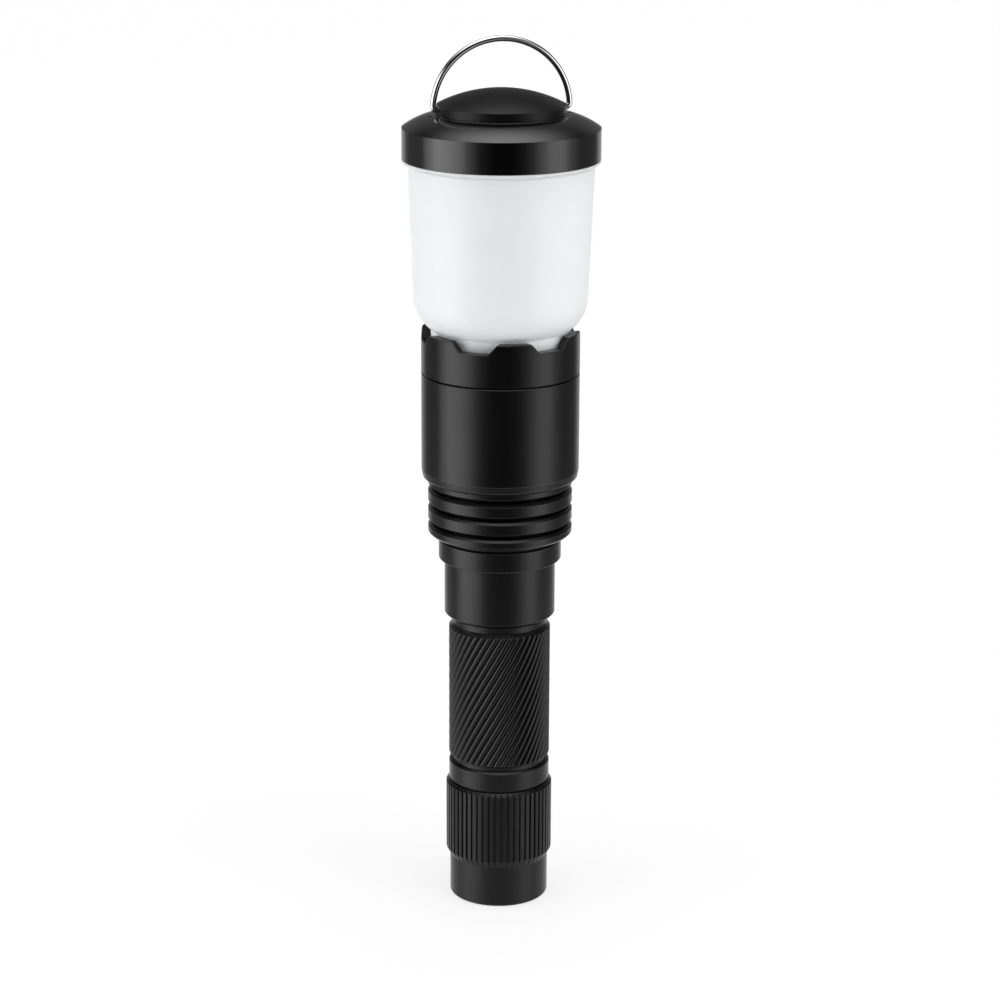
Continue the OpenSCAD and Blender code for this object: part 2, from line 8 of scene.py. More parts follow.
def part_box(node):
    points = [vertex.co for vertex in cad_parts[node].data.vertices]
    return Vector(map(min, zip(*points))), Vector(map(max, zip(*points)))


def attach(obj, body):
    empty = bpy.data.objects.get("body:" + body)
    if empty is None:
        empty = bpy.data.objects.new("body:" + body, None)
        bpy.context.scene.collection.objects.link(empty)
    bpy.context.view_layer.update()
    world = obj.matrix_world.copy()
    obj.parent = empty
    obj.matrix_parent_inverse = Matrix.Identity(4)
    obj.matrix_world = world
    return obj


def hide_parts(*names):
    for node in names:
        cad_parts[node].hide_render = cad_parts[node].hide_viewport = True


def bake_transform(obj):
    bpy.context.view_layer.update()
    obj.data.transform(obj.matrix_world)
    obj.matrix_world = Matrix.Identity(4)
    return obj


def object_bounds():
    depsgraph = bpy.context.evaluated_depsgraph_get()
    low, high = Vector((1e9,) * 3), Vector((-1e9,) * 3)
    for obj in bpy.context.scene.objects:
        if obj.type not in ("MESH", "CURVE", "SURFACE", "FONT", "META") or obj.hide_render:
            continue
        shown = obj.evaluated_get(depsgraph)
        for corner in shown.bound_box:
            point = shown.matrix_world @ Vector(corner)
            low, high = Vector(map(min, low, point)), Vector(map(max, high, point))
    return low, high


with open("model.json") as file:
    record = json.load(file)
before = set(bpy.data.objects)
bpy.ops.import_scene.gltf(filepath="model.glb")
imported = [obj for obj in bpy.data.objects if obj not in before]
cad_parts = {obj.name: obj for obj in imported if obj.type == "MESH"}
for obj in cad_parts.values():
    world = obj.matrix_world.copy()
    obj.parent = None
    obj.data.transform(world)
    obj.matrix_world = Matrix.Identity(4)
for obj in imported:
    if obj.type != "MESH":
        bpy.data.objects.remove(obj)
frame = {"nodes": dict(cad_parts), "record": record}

bl_info = {
    "name": "Zoom flashlight with lantern",
    "version": (1, 0, 0),
    "blender": (4, 5, 0),
    "location": "3D View > Sidebar > Flashlight",
    "description": "Builds the visible skin of a zoomable flashlight and its push-in lantern",
    "category": "Object",
}

MM = 0.001
CAD_BOX = [list(corner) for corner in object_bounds()]
BAIL_WIRE = 1.5
PIVOT_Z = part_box("bail")[0].z + BAIL_WIRE / 2 * MM
SEGMENTS = 192
FINE_SEGMENTS = 240
FILL_DISK = 2.2
FILL_PLACE = (1.25, 1.6, 0.5)
FILL_TARGET = 0.12
FLOOR_HALF = 4.0
FLOOR_DROP = 0.05 * MM
FLOOR_IN_GLOSS = 0.74
FLOOR_LIGHT_LOST = 1.12


# ---- Settings ----

def measured(name, metres, text):
    """A length setting whose default comes from the frame, in metres."""
    return bpy.props.FloatProperty(
        name=name, description=text, default=metres, min=0.0, unit="LENGTH", precision=5)


def length(name, millimetres, text):
    """A length setting, given in millimetres and kept in metres."""
    return measured(name, millimetres * MM, text)


def amount(name, default, text, low=0.0, high=100.0):
    """A plain number setting."""
    return bpy.props.FloatProperty(name=name, description=text, default=default, min=low, max=high)


def degrees(name, default, text):
    """An angle setting, given in degrees."""
    return bpy.props.FloatProperty(
        name=name, description=text, default=math.radians(default), unit="ROTATION")


def count(name, default, text):
    """A whole number setting."""
    return bpy.props.IntProperty(name=name, description=text, default=default, min=1)


def colour(name, rgb, text):
    """A colour setting in linear light."""
    return bpy.props.FloatVectorProperty(
        name=name, description=text, default=rgb, size=3, min=0.0, max=1.0, subtype="COLOR")


def width_of(node):
    """Width along X of a CAD node."""
    low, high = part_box(node)
    return high.x - low.x


def foot_of(node):
    """Height of a CAD node's lowest point."""
    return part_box(node)[0].z


def top_of(node):
    """Height of a CAD node's highest point."""
    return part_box(node)[1].z


class TailCapSizes(bpy.types.PropertyGroup):
    """Sizes of the ribbed tail cap."""

    diameter: measured("Diameter", width_of("tail_cap"), "Diameter over the ribs")
    height: measured("Height", top_of("tail_cap"), "Height of the tail cap")
    skirt_diameter: length("Skirt diameter", 25.6, "Diameter of the plain skirt")
    skirt_height: length("Skirt height", 10.9, "Height of the plain skirt")
    rib_count: count("Ribs", 54, "Number of straight grip ribs")
    rib_depth: length("Rib depth", 0.45, "Depth of the grooves between the ribs")
    foot_rim: length("Foot rim", 1.7, "Width of the ring that the light stands on")
    foot_recess: length("Foot recess", 2.2, "Depth of the recess in the foot")
    floor: length("Floor", 2.8, "Thickness of the floor that holds the boot")
    boot_hole: length("Boot hole", 15.2, "Diameter of the hole for the boot")
    chamber: length("Chamber", 21.8, "Diameter of the switch chamber")
    thread: length("Thread", 24.5, "Diameter of the threaded bore")
    thread_start: length("Thread start", 20.4, "Height where the threaded bore starts")


class TubeSizes(bpy.types.PropertyGroup):
    """Sizes of the battery tube with its helical grip."""

    bore: length("Bore", 19.2, "Diameter of the bore for the cell")
    tail_thread: length("Tail thread", 24.4, "Diameter of the tail thread")
    front_thread: length("Front thread", 25.7, "Diameter of the front thread")
    ring_diameter: length("Ring diameter", 26.1, "Diameter of the plain ring above the tail cap")
    ring_z: length("Ring foot", 32.3, "Height where the plain ring starts")
    ring_height: length("Ring height", 5.2, "Height of the plain ring")
    groove_diameter: length("Groove diameter", 24.2, "Diameter of the two turned grooves")
    groove_height: length("Groove height", 1.7, "Height of the lower groove")
    grip_diameter: length("Grip diameter", 26.2, "Diameter over the helical ridges")
    grip_height: length("Grip height", 34.3, "Height of the helical grip")
    ridge_count: count("Ridges", 44, "Number of helical ridges")
    ridge_depth: length("Ridge depth", 0.5, "Depth of the grooves between the ridges")
    ridge_lead: length("Lead", 139.0, "Rise of a ridge in one full turn")
    neck_diameter: length("Neck diameter", 28.4, "Diameter of the plain neck")
    neck_z: length("Neck foot", 76.9, "Height where the neck starts")
    neck_height: length("Neck height", 15.5, "Height of the plain neck")


class HeatSinkSizes(bpy.types.PropertyGroup):
    """Sizes of the collar and the cooling fins."""

    collar_diameter: length("Collar diameter", 31.4, "Diameter of the collar")
    collar_height: length("Collar height", 5.0, "Height of the collar")
    fin_diameter: length("Fin diameter", 36.8, "Diameter of the cooling fins")
    fin_height: length("Fin height", 3.9, "Height of a cooling fin")
    low_fin_height: length("Lowest fin", 2.75, "Height of the lowest cooling fin")
    stop_fin_height: length("Stop fin", 1.85, "Height of the fin that the head comes down on")
    fin_gap: length("Fin gap", 0.7, "Gap between the cooling fins")
    root_diameter: length("Gap root", 31.2, "Diameter at the bottom of the gaps")
    sleeve_diameter: length("Sleeve", 35.0, "Diameter of the sleeve that the head slides on")
    flange_diameter: length("Flange", 36.8, "Diameter of the sealed flange")


class HeadSizes(bpy.types.PropertyGroup):
    """Sizes of the sliding head shell."""

    diameter: measured("Diameter", width_of("head_shell"), "Diameter of the head shell")
    foot: measured("Foot", foot_of("head_shell"), "Height where the head shell starts")
    top: measured("Top", top_of("head_shell"), "Height where the head shell ends")
    bore: length("Bore", 37.0, "Diameter of the sliding bore")
    lip_height: length("Lip", 2.2, "Height of the lip at the foot")
    thread: length("Thread", 37.8, "Diameter of the bezel's thread")


class BezelSizes(bpy.types.PropertyGroup):
    """Sizes of the strike bezel and the lens in it."""

    diameter: measured("Diameter", width_of("strike_bezel"), "Diameter of the bezel")
    foot: measured("Foot", foot_of("strike_bezel"), "Height of the thread's lower end")
    shoulder: length("Shoulder", 141.5, "Height of the seam over the head shell")
    top: measured("Top", top_of("strike_bezel"), "Height of the tips of the teeth")
    mouth: length("Mouth", 35.5, "Diameter inside the teeth")
    socket: length("Socket", 34.56, "Diameter of the socket for the lantern")
    ledge: length("Ledge", 33.7, "Diameter inside the lens ledge")
    tooth_count: count("Teeth", 6, "Number of teeth")
    tooth_height: length("Tooth height", 2.45, "Depth of the gaps between the teeth")
    gap_mouth: length("Gap mouth", 11.8, "Width of a gap at its mouth")
    gap_floor: length("Gap floor", 7.4, "Width of a gap at its floor")
    turn: degrees("Turn", -3.0, "Turn of the teeth about the long axis")


class LanternSizes(bpy.types.PropertyGroup):
    """Sizes of the diffuser, its cap and the dome."""

    spout: length("Neck", 34.4, "Diameter of the diffuser's neck")
    foot_diameter: length("Foot", 35.2, "Diameter where the round foot meets the teeth")
    low_diameter: length("Low diameter", 43.9, "Diameter above the round foot")
    high_diameter: length("High diameter", 46.5, "Diameter under the cap")
    foot_round: length("Foot radius", 10.3, "Radius of the round foot")
    foot_z: length("Foot height", 152.6, "Height where the round foot starts")
    wall: length("Wall", 1.6, "Wall of the diffuser")
    rim_z: length("Rim", 195.3, "Height of the cap's lower edge")
    lip: length("Lip", 0.8, "Height of the lip under the cap")
    cap_diameter: measured("Cap diameter", width_of("top_cap"), "Diameter of the cap")
    cap_side: length("Cap side", 7.85, "Height of the cap's upright side")
    shoulder_height: length("Shoulder", 3.4, "Height of the cap's sloping shoulder")
    shoulder_round: length("Shoulder radius", 20.0, "Radius of the shoulder's curve")
    dome_diameter: measured("Dome diameter", width_of("cap_dome"), "Diameter of the dome")
    dome_side: length("Dome side", 2.25, "Height of the dome's upright edge")
    dome_rise: length("Dome rise", 3.9, "Rise of the dome above its edge")


class WireSizes(bpy.types.PropertyGroup):
    """Sizes of the bail and the springs."""

    bail_wire: length("Bail wire", BAIL_WIRE, "Diameter of the bail's wire")
    bail_radius: length("Bail radius", 17.3, "Radius of the bail's centre line")
    bail_bend: length("Bail bend", 1.3, "Radius of the bend at each end")
    bail_reach: length("Bail reach", 13.1, "Distance of the wire's ends from the axis")
    tail_wire: length("Tail spring wire", 0.9, "Wire of the rear contact spring")
    driver_wire: length("Front spring wire", 0.8, "Wire of the front contact spring")
    switch_wire: length("Switch spring wire", 0.4, "Wire of the switch spring")


class Finishes(bpy.types.PropertyGroup):
    """Colours of the finishes."""

    anodised: colour("Anodised", (0.0020, 0.0021, 0.0022), "Hard-anodised black aluminium")
    anodised_worn: colour("Worn edge", (0.070, 0.071, 0.074), "Anodising thinned on an edge")
    gloss_black: colour("Cap", (0.0012, 0.0013, 0.0014), "Gloss black cap")
    satin_black: colour("Dome", (0.0040, 0.0040, 0.0042), "Satin black dome")
    frosted: colour("Diffuser", (0.90, 0.915, 0.935), "Frosted white diffuser")
    white_plastic: colour("White plastic", (0.82, 0.82, 0.79), "Moulded white parts")
    red_plastic: colour("Red plastic", (0.50, 0.045, 0.035), "Moulded red parts")
    rubber: colour("Rubber", (0.018, 0.018, 0.018), "Switch boot and seals")
    bail_steel: colour("Bail steel", (0.66, 0.66, 0.67), "Polished stainless wire")
    spring_steel: colour("Spring steel", (0.58, 0.55, 0.48), "Bright spring wire")
    brass: colour("Brass", (0.66, 0.46, 0.19), "Turned brass")
    board: colour("Circuit board", (0.012, 0.11, 0.045), "Green solder mask")
    wrap: colour("Battery wrap", (0.035, 0.12, 0.33), "Shrink wrap of the cell")
    phosphor: colour("Phosphor", (0.80, 0.62, 0.07), "Phosphor under the silicone")


class StudioSettings(bpy.types.PropertyGroup):
    """Camera, light and background."""

    turn: degrees("Camera turn", 13.0, "Turn of the camera to the left of the front")
    distance: length("Distance", 720.0, "Level distance of the camera from the axis")
    height: length("Height", 315.65, "Height of the camera above the foot")
    pitch: degrees("Pitch", 16.14, "How far the camera looks down")
    roll: degrees("Roll", -0.23, "How far the camera leans")
    lens: amount("Lens", 105.4, "Focal length in millimetres", 10.0, 400.0)
    softbox: amount("Softboxes", 3.8, "Brightness of the side softboxes")
    overhead: amount("Overhead", 3.8, "Brightness of the light overhead")
    backdrop: amount("Backdrop", 0.6, "Brightness of the backdrop in reflections")
    fill: amount("Fill", 26.0, "Power of the soft fill light, in watts")
    floor_reach: length("Floor reach", 420.0, "How far the floor shows in reflections")
    shadow: amount("Shadow", 0.25, "Share of the floor's white that the shadow can take", 0.0, 1.0)


class FlashlightSettings(bpy.types.PropertyGroup):
    """All settings of the flashlight."""

    tail: bpy.props.PointerProperty(type=TailCapSizes)
    tube: bpy.props.PointerProperty(type=TubeSizes)
    sink: bpy.props.PointerProperty(type=HeatSinkSizes)
    head: bpy.props.PointerProperty(type=HeadSizes)
    bezel: bpy.props.PointerProperty(type=BezelSizes)
    lantern: bpy.props.PointerProperty(type=LanternSizes)
    wires: bpy.props.PointerProperty(type=WireSizes)
    finishes: bpy.props.PointerProperty(type=Finishes)
    studio: bpy.props.PointerProperty(type=StudioSettings)


# ---- Turned shapes ----

def rounded(outline, steps=5):
    """Points (radius, height, edge) round a closed outline of (radius, height, fillet).

    edge is 1 on an outer fillet and -1 in an inner one. Each fillet gets a close point on both
    sides, which keeps the flat faces beside it flat in the shading.
    """
    points = []
    total = len(outline)
    for i in range(total):
        r, z, fillet = outline[i]
        corner = Vector((r, z))
        before = Vector(outline[i - 1][:2]) - corner
        after = Vector(outline[(i + 1) % total][:2]) - corner
        if fillet <= 0.0:
            points.append((r, z, 0.0))
            continue
        half = before.angle(after) / 2
        run = min(fillet / math.tan(half), 0.46 * before.length, 0.46 * after.length)
        radius = run * math.tan(half)
        before.normalize()
        after.normalize()
        centre = corner + (before + after).normalized() * (radius / math.sin(half))
        start = corner + before * run
        end = corner + after * run
        turn = before.x * after.y - before.y * after.x
        mark = 1.0 if turn < 0 else -1.0
        hold = min(0.35 * run, 0.08 * MM)
        points.append((*(start + before * hold), 0.0))
        first = start - centre
        sweep = first.angle_signed(end - centre)
        for k in range(steps + 1):
            spoke = first.copy()
            spoke.rotate(Matrix.Rotation(-sweep * k / steps, 2))
            share = math.sin(math.pi * k / steps)
            points.append((*(centre + spoke), mark * share))
        points.append((*(end + after * hold), 0.0))
    return points


def divided(points, step, low, high):
    """The same points, with every stretch between heights low and high cut into steps."""
    result = []
    for i, (r, z, edge) in enumerate(points):
        result.append((r, z, edge))
        r2, z2, edge2 = points[(i + 1) % len(points)]
        if min(z, z2) < low - 1e-7 or max(z, z2) > high + 1e-7:
            continue
        pieces = int(math.hypot(r2 - r, z2 - z) / step)
        for k in range(1, pieces + 1):
            t = k / (pieces + 1)
            result.append((r + (r2 - r) * t, z + (z2 - z) * t, edge + (edge2 - edge) * t))
    return result


def arc(centre, radius, start, end, steps):
    """Outline points on an arc, between two angles in radians."""
    return [
        (centre[0] + radius * math.cos(start + (end - start) * k / steps),
         centre[1] + radius * math.sin(start + (end - start) * k / steps), 0.0)
        for k in range(steps + 1)
    ]


def finish_mesh(mesh, sharp=38.0):
    """Smooth shading, with a crease wherever two faces meet more sharply than the limit."""
    mesh.polygons.foreach_set("use_smooth", [True] * len(mesh.polygons))
    mesh.set_sharp_from_angle(angle=math.radians(sharp))
    mesh.validate()
    mesh.update()


def surface(name, rows, edges, closed_round):
    """Mesh through a grid of points: rows[i][j] is profile point i at column j.

    The profile is always closed. The columns are closed too where closed_round is true.
    """
    verts = []
    marks = []
    index = []
    for row, edge in zip(rows, edges):
        if all(math.hypot(p[0], p[1]) < 1e-9 for p in row):
            index.append([len(verts)] * len(row))
            verts.append(row[0])
            marks.append(edge)
            continue
        index.append(list(range(len(verts), len(verts) + len(row))))
        verts.extend(row)
        marks.extend([edge] * len(row))
    faces = []
    columns = len(rows[0])
    for i in range(len(rows)):
        low = index[i]
        high = index[(i + 1) % len(rows)]
        for j in range(columns if closed_round else columns - 1):
            k = (j + 1) % columns
            face = []
            for v in (low[j], low[k], high[k], high[j]):
                if v not in face:
                    face.append(v)
            if len(face) > 2:
                faces.append(face)
    mesh = bpy.data.meshes.new(name)
    mesh.from_pydata(verts, [], faces)
    layer = mesh.attributes.new("edge", "FLOAT", "POINT")
    layer.data.foreach_set("value", marks)
    return mesh


def turned(name, points, segments=SEGMENTS):
    """Closed solid of revolution through profile points."""
    angles = [2 * math.pi * j / segments for j in range(segments)]
    rows = [[(r * math.cos(a), r * math.sin(a), z) for a in angles] for r, z, edge in points]
    return surface(name, rows, [p[2] for p in points], True)


def sector(name, points, columns, place):
    """One repeat of a shape that goes round the axis. place gives the point of a profile point
    and a column."""
    rows = [[place(r, z, column) for column in columns] for r, z, edge in points]
    return surface(name, rows, [p[2] for p in points], False)


def placed(name, data):
    """A new object in the scene."""
    obj = bpy.data.objects.new(name, data)
    bpy.context.scene.collection.objects.link(obj)
    return obj


def piece(name, mesh, body, slot, material, *nodes):
    """Object of a mesh, which stands for CAD nodes and rides on their body. A mesh that nodes
    have not finished comes with its material."""
    obj = placed(name, mesh)
    if material is not None:
        finish_mesh(mesh)
        mesh.materials.clear()
        mesh.materials.append(material)
    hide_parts(*nodes)
    if body is not None:
        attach(obj, body)
    return obj


def removed(obj):
    """Delete an object together with its data."""
    data = obj.data
    bpy.data.objects.remove(obj)
    kind = bpy.data.meshes if isinstance(data, bpy.types.Mesh) else bpy.data.curves
    kind.remove(data)


def baked(obj, name):
    """Plain mesh of an object with its modifiers, after which the object is gone."""
    bpy.context.view_layer.update()
    graph = bpy.context.evaluated_depsgraph_get()
    mesh = bpy.data.meshes.new_from_object(obj.evaluated_get(graph), depsgraph=graph)
    mesh.name = name
    obj.modifiers.clear()
    removed(obj)
    return mesh


def drilled(mesh, name, cutters):
    """The mesh with plain cylinders (radius, x from, x to) along X cut out at the pivots' height."""
    body = placed(name, mesh)
    tools = []
    sides = 48
    for radius, start, end in cutters:
        verts = [
            (x, radius * math.cos(2 * math.pi * k / sides),
             PIVOT_Z + radius * math.sin(2 * math.pi * k / sides))
            for x in (start, end) for k in range(sides)
        ]
        faces = [[k, (k + 1) % sides, sides + (k + 1) % sides, sides + k] for k in range(sides)]
        faces.append(list(range(sides - 1, -1, -1)))
        faces.append(list(range(sides, 2 * sides)))
        tool_mesh = bpy.data.meshes.new("Cutter")
        tool_mesh.from_pydata(verts, [], faces if end > start else [f[::-1] for f in faces])
        tools.append(placed("Cutter", tool_mesh))
        cut = body.modifiers.new("Cut", "BOOLEAN")
        cut.operation = "DIFFERENCE"
        cut.solver = "EXACT"
        cut.object = tools[-1]
    result = baked(body, name)
    for tool in tools:
        removed(tool)
    return result


# ---- Nodes ----

def feed(tree, node, inputs):
    """Set a node's inputs. Each is a plain value, or a socket to link."""
    for key, value in inputs.items():
        if isinstance(value, bpy.types.NodeSocket):
            tree.links.new(value, node.inputs[key])
        else:
            node.inputs[key].default_value = value


def add(tree, kind, inputs=None, **values):
    """A new node with some of its properties and inputs set."""
    made = tree.nodes.new(kind)
    for key, value in values.items():
        setattr(made, key, value)
    feed(tree, made, inputs or {})
    return made


def maths(tree, operation, *values):
    """A Math node, with numbers or sockets for its inputs. Gives its output."""
    return add(tree, "ShaderNodeMath", dict(enumerate(values)), operation=operation).outputs[0]


def split(tree, point):
    """X, Y and Z of a point."""
    return add(tree, "ShaderNodeSeparateXYZ", {0: point}).outputs


def shared_tree(name, build):
    """The named tree, built on its first use."""
    return bpy.data.node_groups.get(name) or build()


# ---- Geometry Nodes ----

def geometry_tree(name, sockets, result):
    """An empty geometry group. Gives the tree and what it is given."""
    tree = bpy.data.node_groups.new(name, "GeometryNodeTree")
    for label, kind in sockets:
        tree.interface.new_socket(label, in_out="INPUT", socket_type="NodeSocket" + kind)
    tree.interface.new_socket(result, in_out="OUTPUT", socket_type="NodeSocketGeometry")
    return tree, add(tree, "NodeGroupInput").outputs


def painted(tree, geometry, material):
    """The tree, ended by Set Material and the output."""
    paint = add(tree, "GeometryNodeSetMaterial", {"Geometry": geometry, "Material": material})
    add(tree, "NodeGroupOutput", {0: paint.outputs[0]})
    return tree


def sector_tree():
    """Tree that twists one sector along the axis and repeats it all round."""
    tree, given = geometry_tree("Ring of sectors", (
        ("Sector", "Geometry"), ("Count", "Int"), ("Twist", "Float"), ("Twist start", "Float"),
        ("Twist end", "Float"), ("Finish", "Material")), "Ring")
    place = add(tree, "GeometryNodeInputPosition").outputs[0]
    share = add(tree, "ShaderNodeMapRange", {
        "Value": split(tree, place)["Z"], "From Min": given["Twist start"],
        "From Max": given["Twist end"], "To Max": given["Twist"]}, clamp=True)
    spin = add(tree, "ShaderNodeVectorRotate", {
        "Vector": place, "Angle": share.outputs["Result"]}, rotation_type="Z_AXIS")
    twist = add(tree, "GeometryNodeSetPosition", {
        "Geometry": given["Sector"], "Position": spin.outputs[0]})
    line = add(tree, "GeometryNodeMeshLine", {"Offset": (0.0, 0.0, 0.0), "Count": given["Count"]})
    number = add(tree, "GeometryNodeInputIndex").outputs[0]
    pitch = maths(tree, "DIVIDE", 2 * math.pi, given["Count"])
    euler = add(tree, "ShaderNodeCombineXYZ", {"Z": maths(tree, "MULTIPLY", number, pitch)})
    turn = add(tree, "FunctionNodeEulerToRotation", {0: euler.outputs[0]})
    copies = add(tree, "GeometryNodeInstanceOnPoints", {
        "Points": line.outputs[0], "Instance": twist.outputs[0], "Rotation": turn.outputs[0]})
    real = add(tree, "GeometryNodeRealizeInstances", {0: copies.outputs[0]})
    weld = add(tree, "GeometryNodeMergeByDistance", {
        "Geometry": real.outputs[0], "Distance": 0.002 * MM})
    return painted(tree, weld.outputs[0], given["Finish"])


def wire_tree():
    """Tree that sweeps a round wire along a path."""
    tree, given = geometry_tree("Wire along a path", (
        ("Path", "Geometry"), ("Wire", "Float"), ("Sides", "Int"), ("Finish", "Material")),
        "Swept wire")
    section = add(tree, "GeometryNodeCurvePrimitiveCircle", {
        "Resolution": given["Sides"], "Radius": maths(tree, "MULTIPLY", given["Wire"], 0.5)})
    sweep = add(tree, "GeometryNodeCurveToMesh", {
        "Fill Caps": True, "Curve": given["Path"], "Profile Curve": section.outputs[0]})
    real = add(tree, "GeometryNodeRealizeInstances", {0: sweep.outputs[0]})
    return painted(tree, real.outputs[0], given["Finish"])


def grown(source, name, tree, inputs):
    """Plain mesh of what a tree makes of an object, with named inputs."""
    modifier = source.modifiers.new(tree.name, "NODES")
    modifier.node_group = tree
    for item in tree.interface.items_tree:
        if item.name in inputs:
            modifier[item.identifier] = inputs[item.name]
    return baked(source, name)


def ring_of(mesh, name, copies, material, twist=0.0, start=0.0, end=1.0):
    """Mesh of a sector repeated all round."""
    made = grown(placed(name, mesh), name, shared_tree("Ring of sectors", sector_tree), {
        "Count": copies, "Twist": twist, "Twist start": start, "Twist end": end, "Finish": material})
    finish_mesh(made)
    return made


def wire_mesh(name, points, wire, sides, material):
    """Mesh of a round wire through points."""
    curve = bpy.data.curves.new(name, "CURVE")
    curve.dimensions = "3D"
    spline = curve.splines.new("POLY")
    spline.points.add(len(points) - 1)
    for slot, point in zip(spline.points, points):
        slot.co = (*point, 1.0)
    made = grown(placed(name, curve), name, shared_tree("Wire along a path", wire_tree), {
        "Wire": wire, "Sides": sides, "Finish": material})
    finish_mesh(made, 50.0)
    return made


# ---- Finishes ----

def object_point(tree):
    """Object coordinates of a material or a group."""
    return add(tree, "ShaderNodeTexCoord").outputs["Object"]


def remap(tree, value, low, high, to_low, to_high):
    """A clamped Map Range from low..high. Gives its output."""
    made = add(tree, "ShaderNodeMapRange", {
        "Value": value, "From Min": low, "From Max": high, "To Min": to_low, "To Max": to_high},
        clamp=True)
    return made.outputs["Result"]


def noise(tree, scale, detail=2.0, roughness=0.5, at=None):
    """A Noise Texture on Object coordinates. Gives its value."""
    made = add(tree, "ShaderNodeTexNoise", {
        "Scale": scale, "Detail": detail, "Roughness": roughness, "Vector": at or object_point(tree)})
    return made.outputs["Fac"]


def group_tree(name, inputs, outputs):
    """An empty shader group with float sockets. Gives the tree and what it is given."""
    tree = bpy.data.node_groups.new(name, "ShaderNodeTree")
    for label, default in inputs:
        socket = tree.interface.new_socket(label, in_out="INPUT", socket_type="NodeSocketFloat")
        socket.default_value = default
    for label in outputs:
        tree.interface.new_socket(label, in_out="OUTPUT", socket_type="NodeSocketFloat")
    return tree, add(tree, "NodeGroupInput").outputs


def edge_wear_and_corner_shade_group():
    """Group that puts out where outer edges are rubbed, and a painted shade mask that darkens the inner
    corners.
    """
    tree, given = group_tree(
        "Edge wear", [("Scale", 400.0), ("Break up", 0.5)], ["Rubbed", "Corner"])
    mark = add(tree, "ShaderNodeAttribute", attribute_name="edge", attribute_type="GEOMETRY")
    mark = mark.outputs["Fac"]
    patch = remap(tree, noise(tree, given["Scale"], 4.0, 0.6), 0.38, 0.66, 0.0, 1.0)
    kept = maths(tree, "SUBTRACT", 1.0, given["Break up"])
    share = maths(tree, "ADD", kept, maths(tree, "MULTIPLY", patch, given["Break up"]))
    # The corner output is painted shade: 1 in inner fillets, where it later darkens the colour.
    add(tree, "NodeGroupOutput", {
        "Rubbed": maths(tree, "MULTIPLY", maths(tree, "MAXIMUM", mark, 0.0), share),
        "Corner": maths(tree, "MAXIMUM", maths(tree, "MULTIPLY", mark, -1.0), 0.0)})
    return tree


def grain_group():
    """Group of fine blasted grain, faint turning rings and slow handling marks."""
    tree, given = group_tree(
        "Turned grain", [("Grain", 9000.0), ("Rings", 5000.0), ("Ring share", 0.5)],
        ["Height", "Handling"])
    point = object_point(tree)
    rings = add(tree, "ShaderNodeTexNoise", {
        "W": split(tree, point)["Z"], "Scale": given["Rings"], "Detail": 2.0},
        noise_dimensions="1D")
    ringed = maths(tree, "MULTIPLY", rings.outputs["Fac"], given["Ring share"])
    rest = maths(tree, "SUBTRACT", 1.0, given["Ring share"])
    grain = maths(tree, "MULTIPLY", noise(tree, given["Grain"], 1.0, 0.5, point), rest)
    add(tree, "NodeGroupOutput", {
        "Height": maths(tree, "ADD", ringed, grain),
        "Handling": noise(tree, 70.0, 5.0, 0.6, point)})
    return tree


def use_group(tree, name, build, **values):
    """A node of a shared shader group in a material, with its own values. Gives its outputs."""
    made = add(tree, "ShaderNodeGroup", node_tree=shared_tree(name, build))
    feed(tree, made, {key.replace("_", " "): value for key, value in values.items()})
    return made.outputs


def tone(name):
    """A colour from the settings."""
    return tuple(getattr(bpy.context.scene.flashlight.finishes, name))


def scaled(base, factor):
    """A colour times a factor."""
    return tuple(min(1.0, c * factor) for c in base)


def principled(name, base, **values):
    """A new material. Gives it, its tree and its Principled shader with plain values set."""
    made = bpy.data.materials.new(name)
    made.use_nodes = True
    shader = made.node_tree.nodes["Principled BSDF"]
    values["Base Color"] = (*base, 1.0)
    feed(made.node_tree, shader, {key.replace("_", " "): value for key, value in values.items()})
    return made, made.node_tree, shader


def blend_colour(tree, share, first, second):
    """A colour mix. first and second are colours or sockets. Gives its output."""
    first, second = (
        v if isinstance(v, bpy.types.NodeSocket) else (*v, 1.0) for v in (first, second))
    made = add(tree, "ShaderNodeMix", data_type="RGBA")
    feed(tree, made, {"Factor": share, 6: first, 7: second})
    return made.outputs[2]


def bump(tree, shader, height, strength, depth):
    """A Bump node from a height to a shader's normal. depth is in millimetres."""
    made = add(tree, "ShaderNodeBump", {
        "Strength": strength, "Distance": depth * MM, "Height": height})
    feed(tree, shader, {"Normal": made.outputs[0]})


def coated_black(name, base, worn, roughness, spread, wear, grain, ring_share, depth, shine=0.5):
    """A black coating: grain and rings in the bump, handled patches in the gloss, lighter edges, and
    painted shade darkening the inner corners.
    """
    made, tree, shader = principled(name, base, Specular_IOR_Level=shine)
    texture = use_group(
        tree, "Turned grain", grain_group, Grain=grain, Rings=5200.0, Ring_share=ring_share)
    edges = use_group(tree, "Edge wear", edge_wear_and_corner_shade_group, Scale=420.0, Break_up=0.45)
    tinted = blend_colour(tree, maths(tree, "MULTIPLY", edges["Rubbed"], wear), base, worn)
    # Painted shade: the colour in inner corners is pulled towards 0.6 of the base colour.
    painted_corner_shade = maths(tree, "MULTIPLY", edges["Corner"], 0.35)
    feed(tree, shader, {
        "Base Color": blend_colour(tree, painted_corner_shade, tinted, scaled(base, 0.6)),
        "Roughness": remap(
            tree, texture["Handling"], 0.3, 0.7, roughness - spread, roughness + spread)})
    bump(tree, shader, texture["Height"], 0.5, depth)
    return made


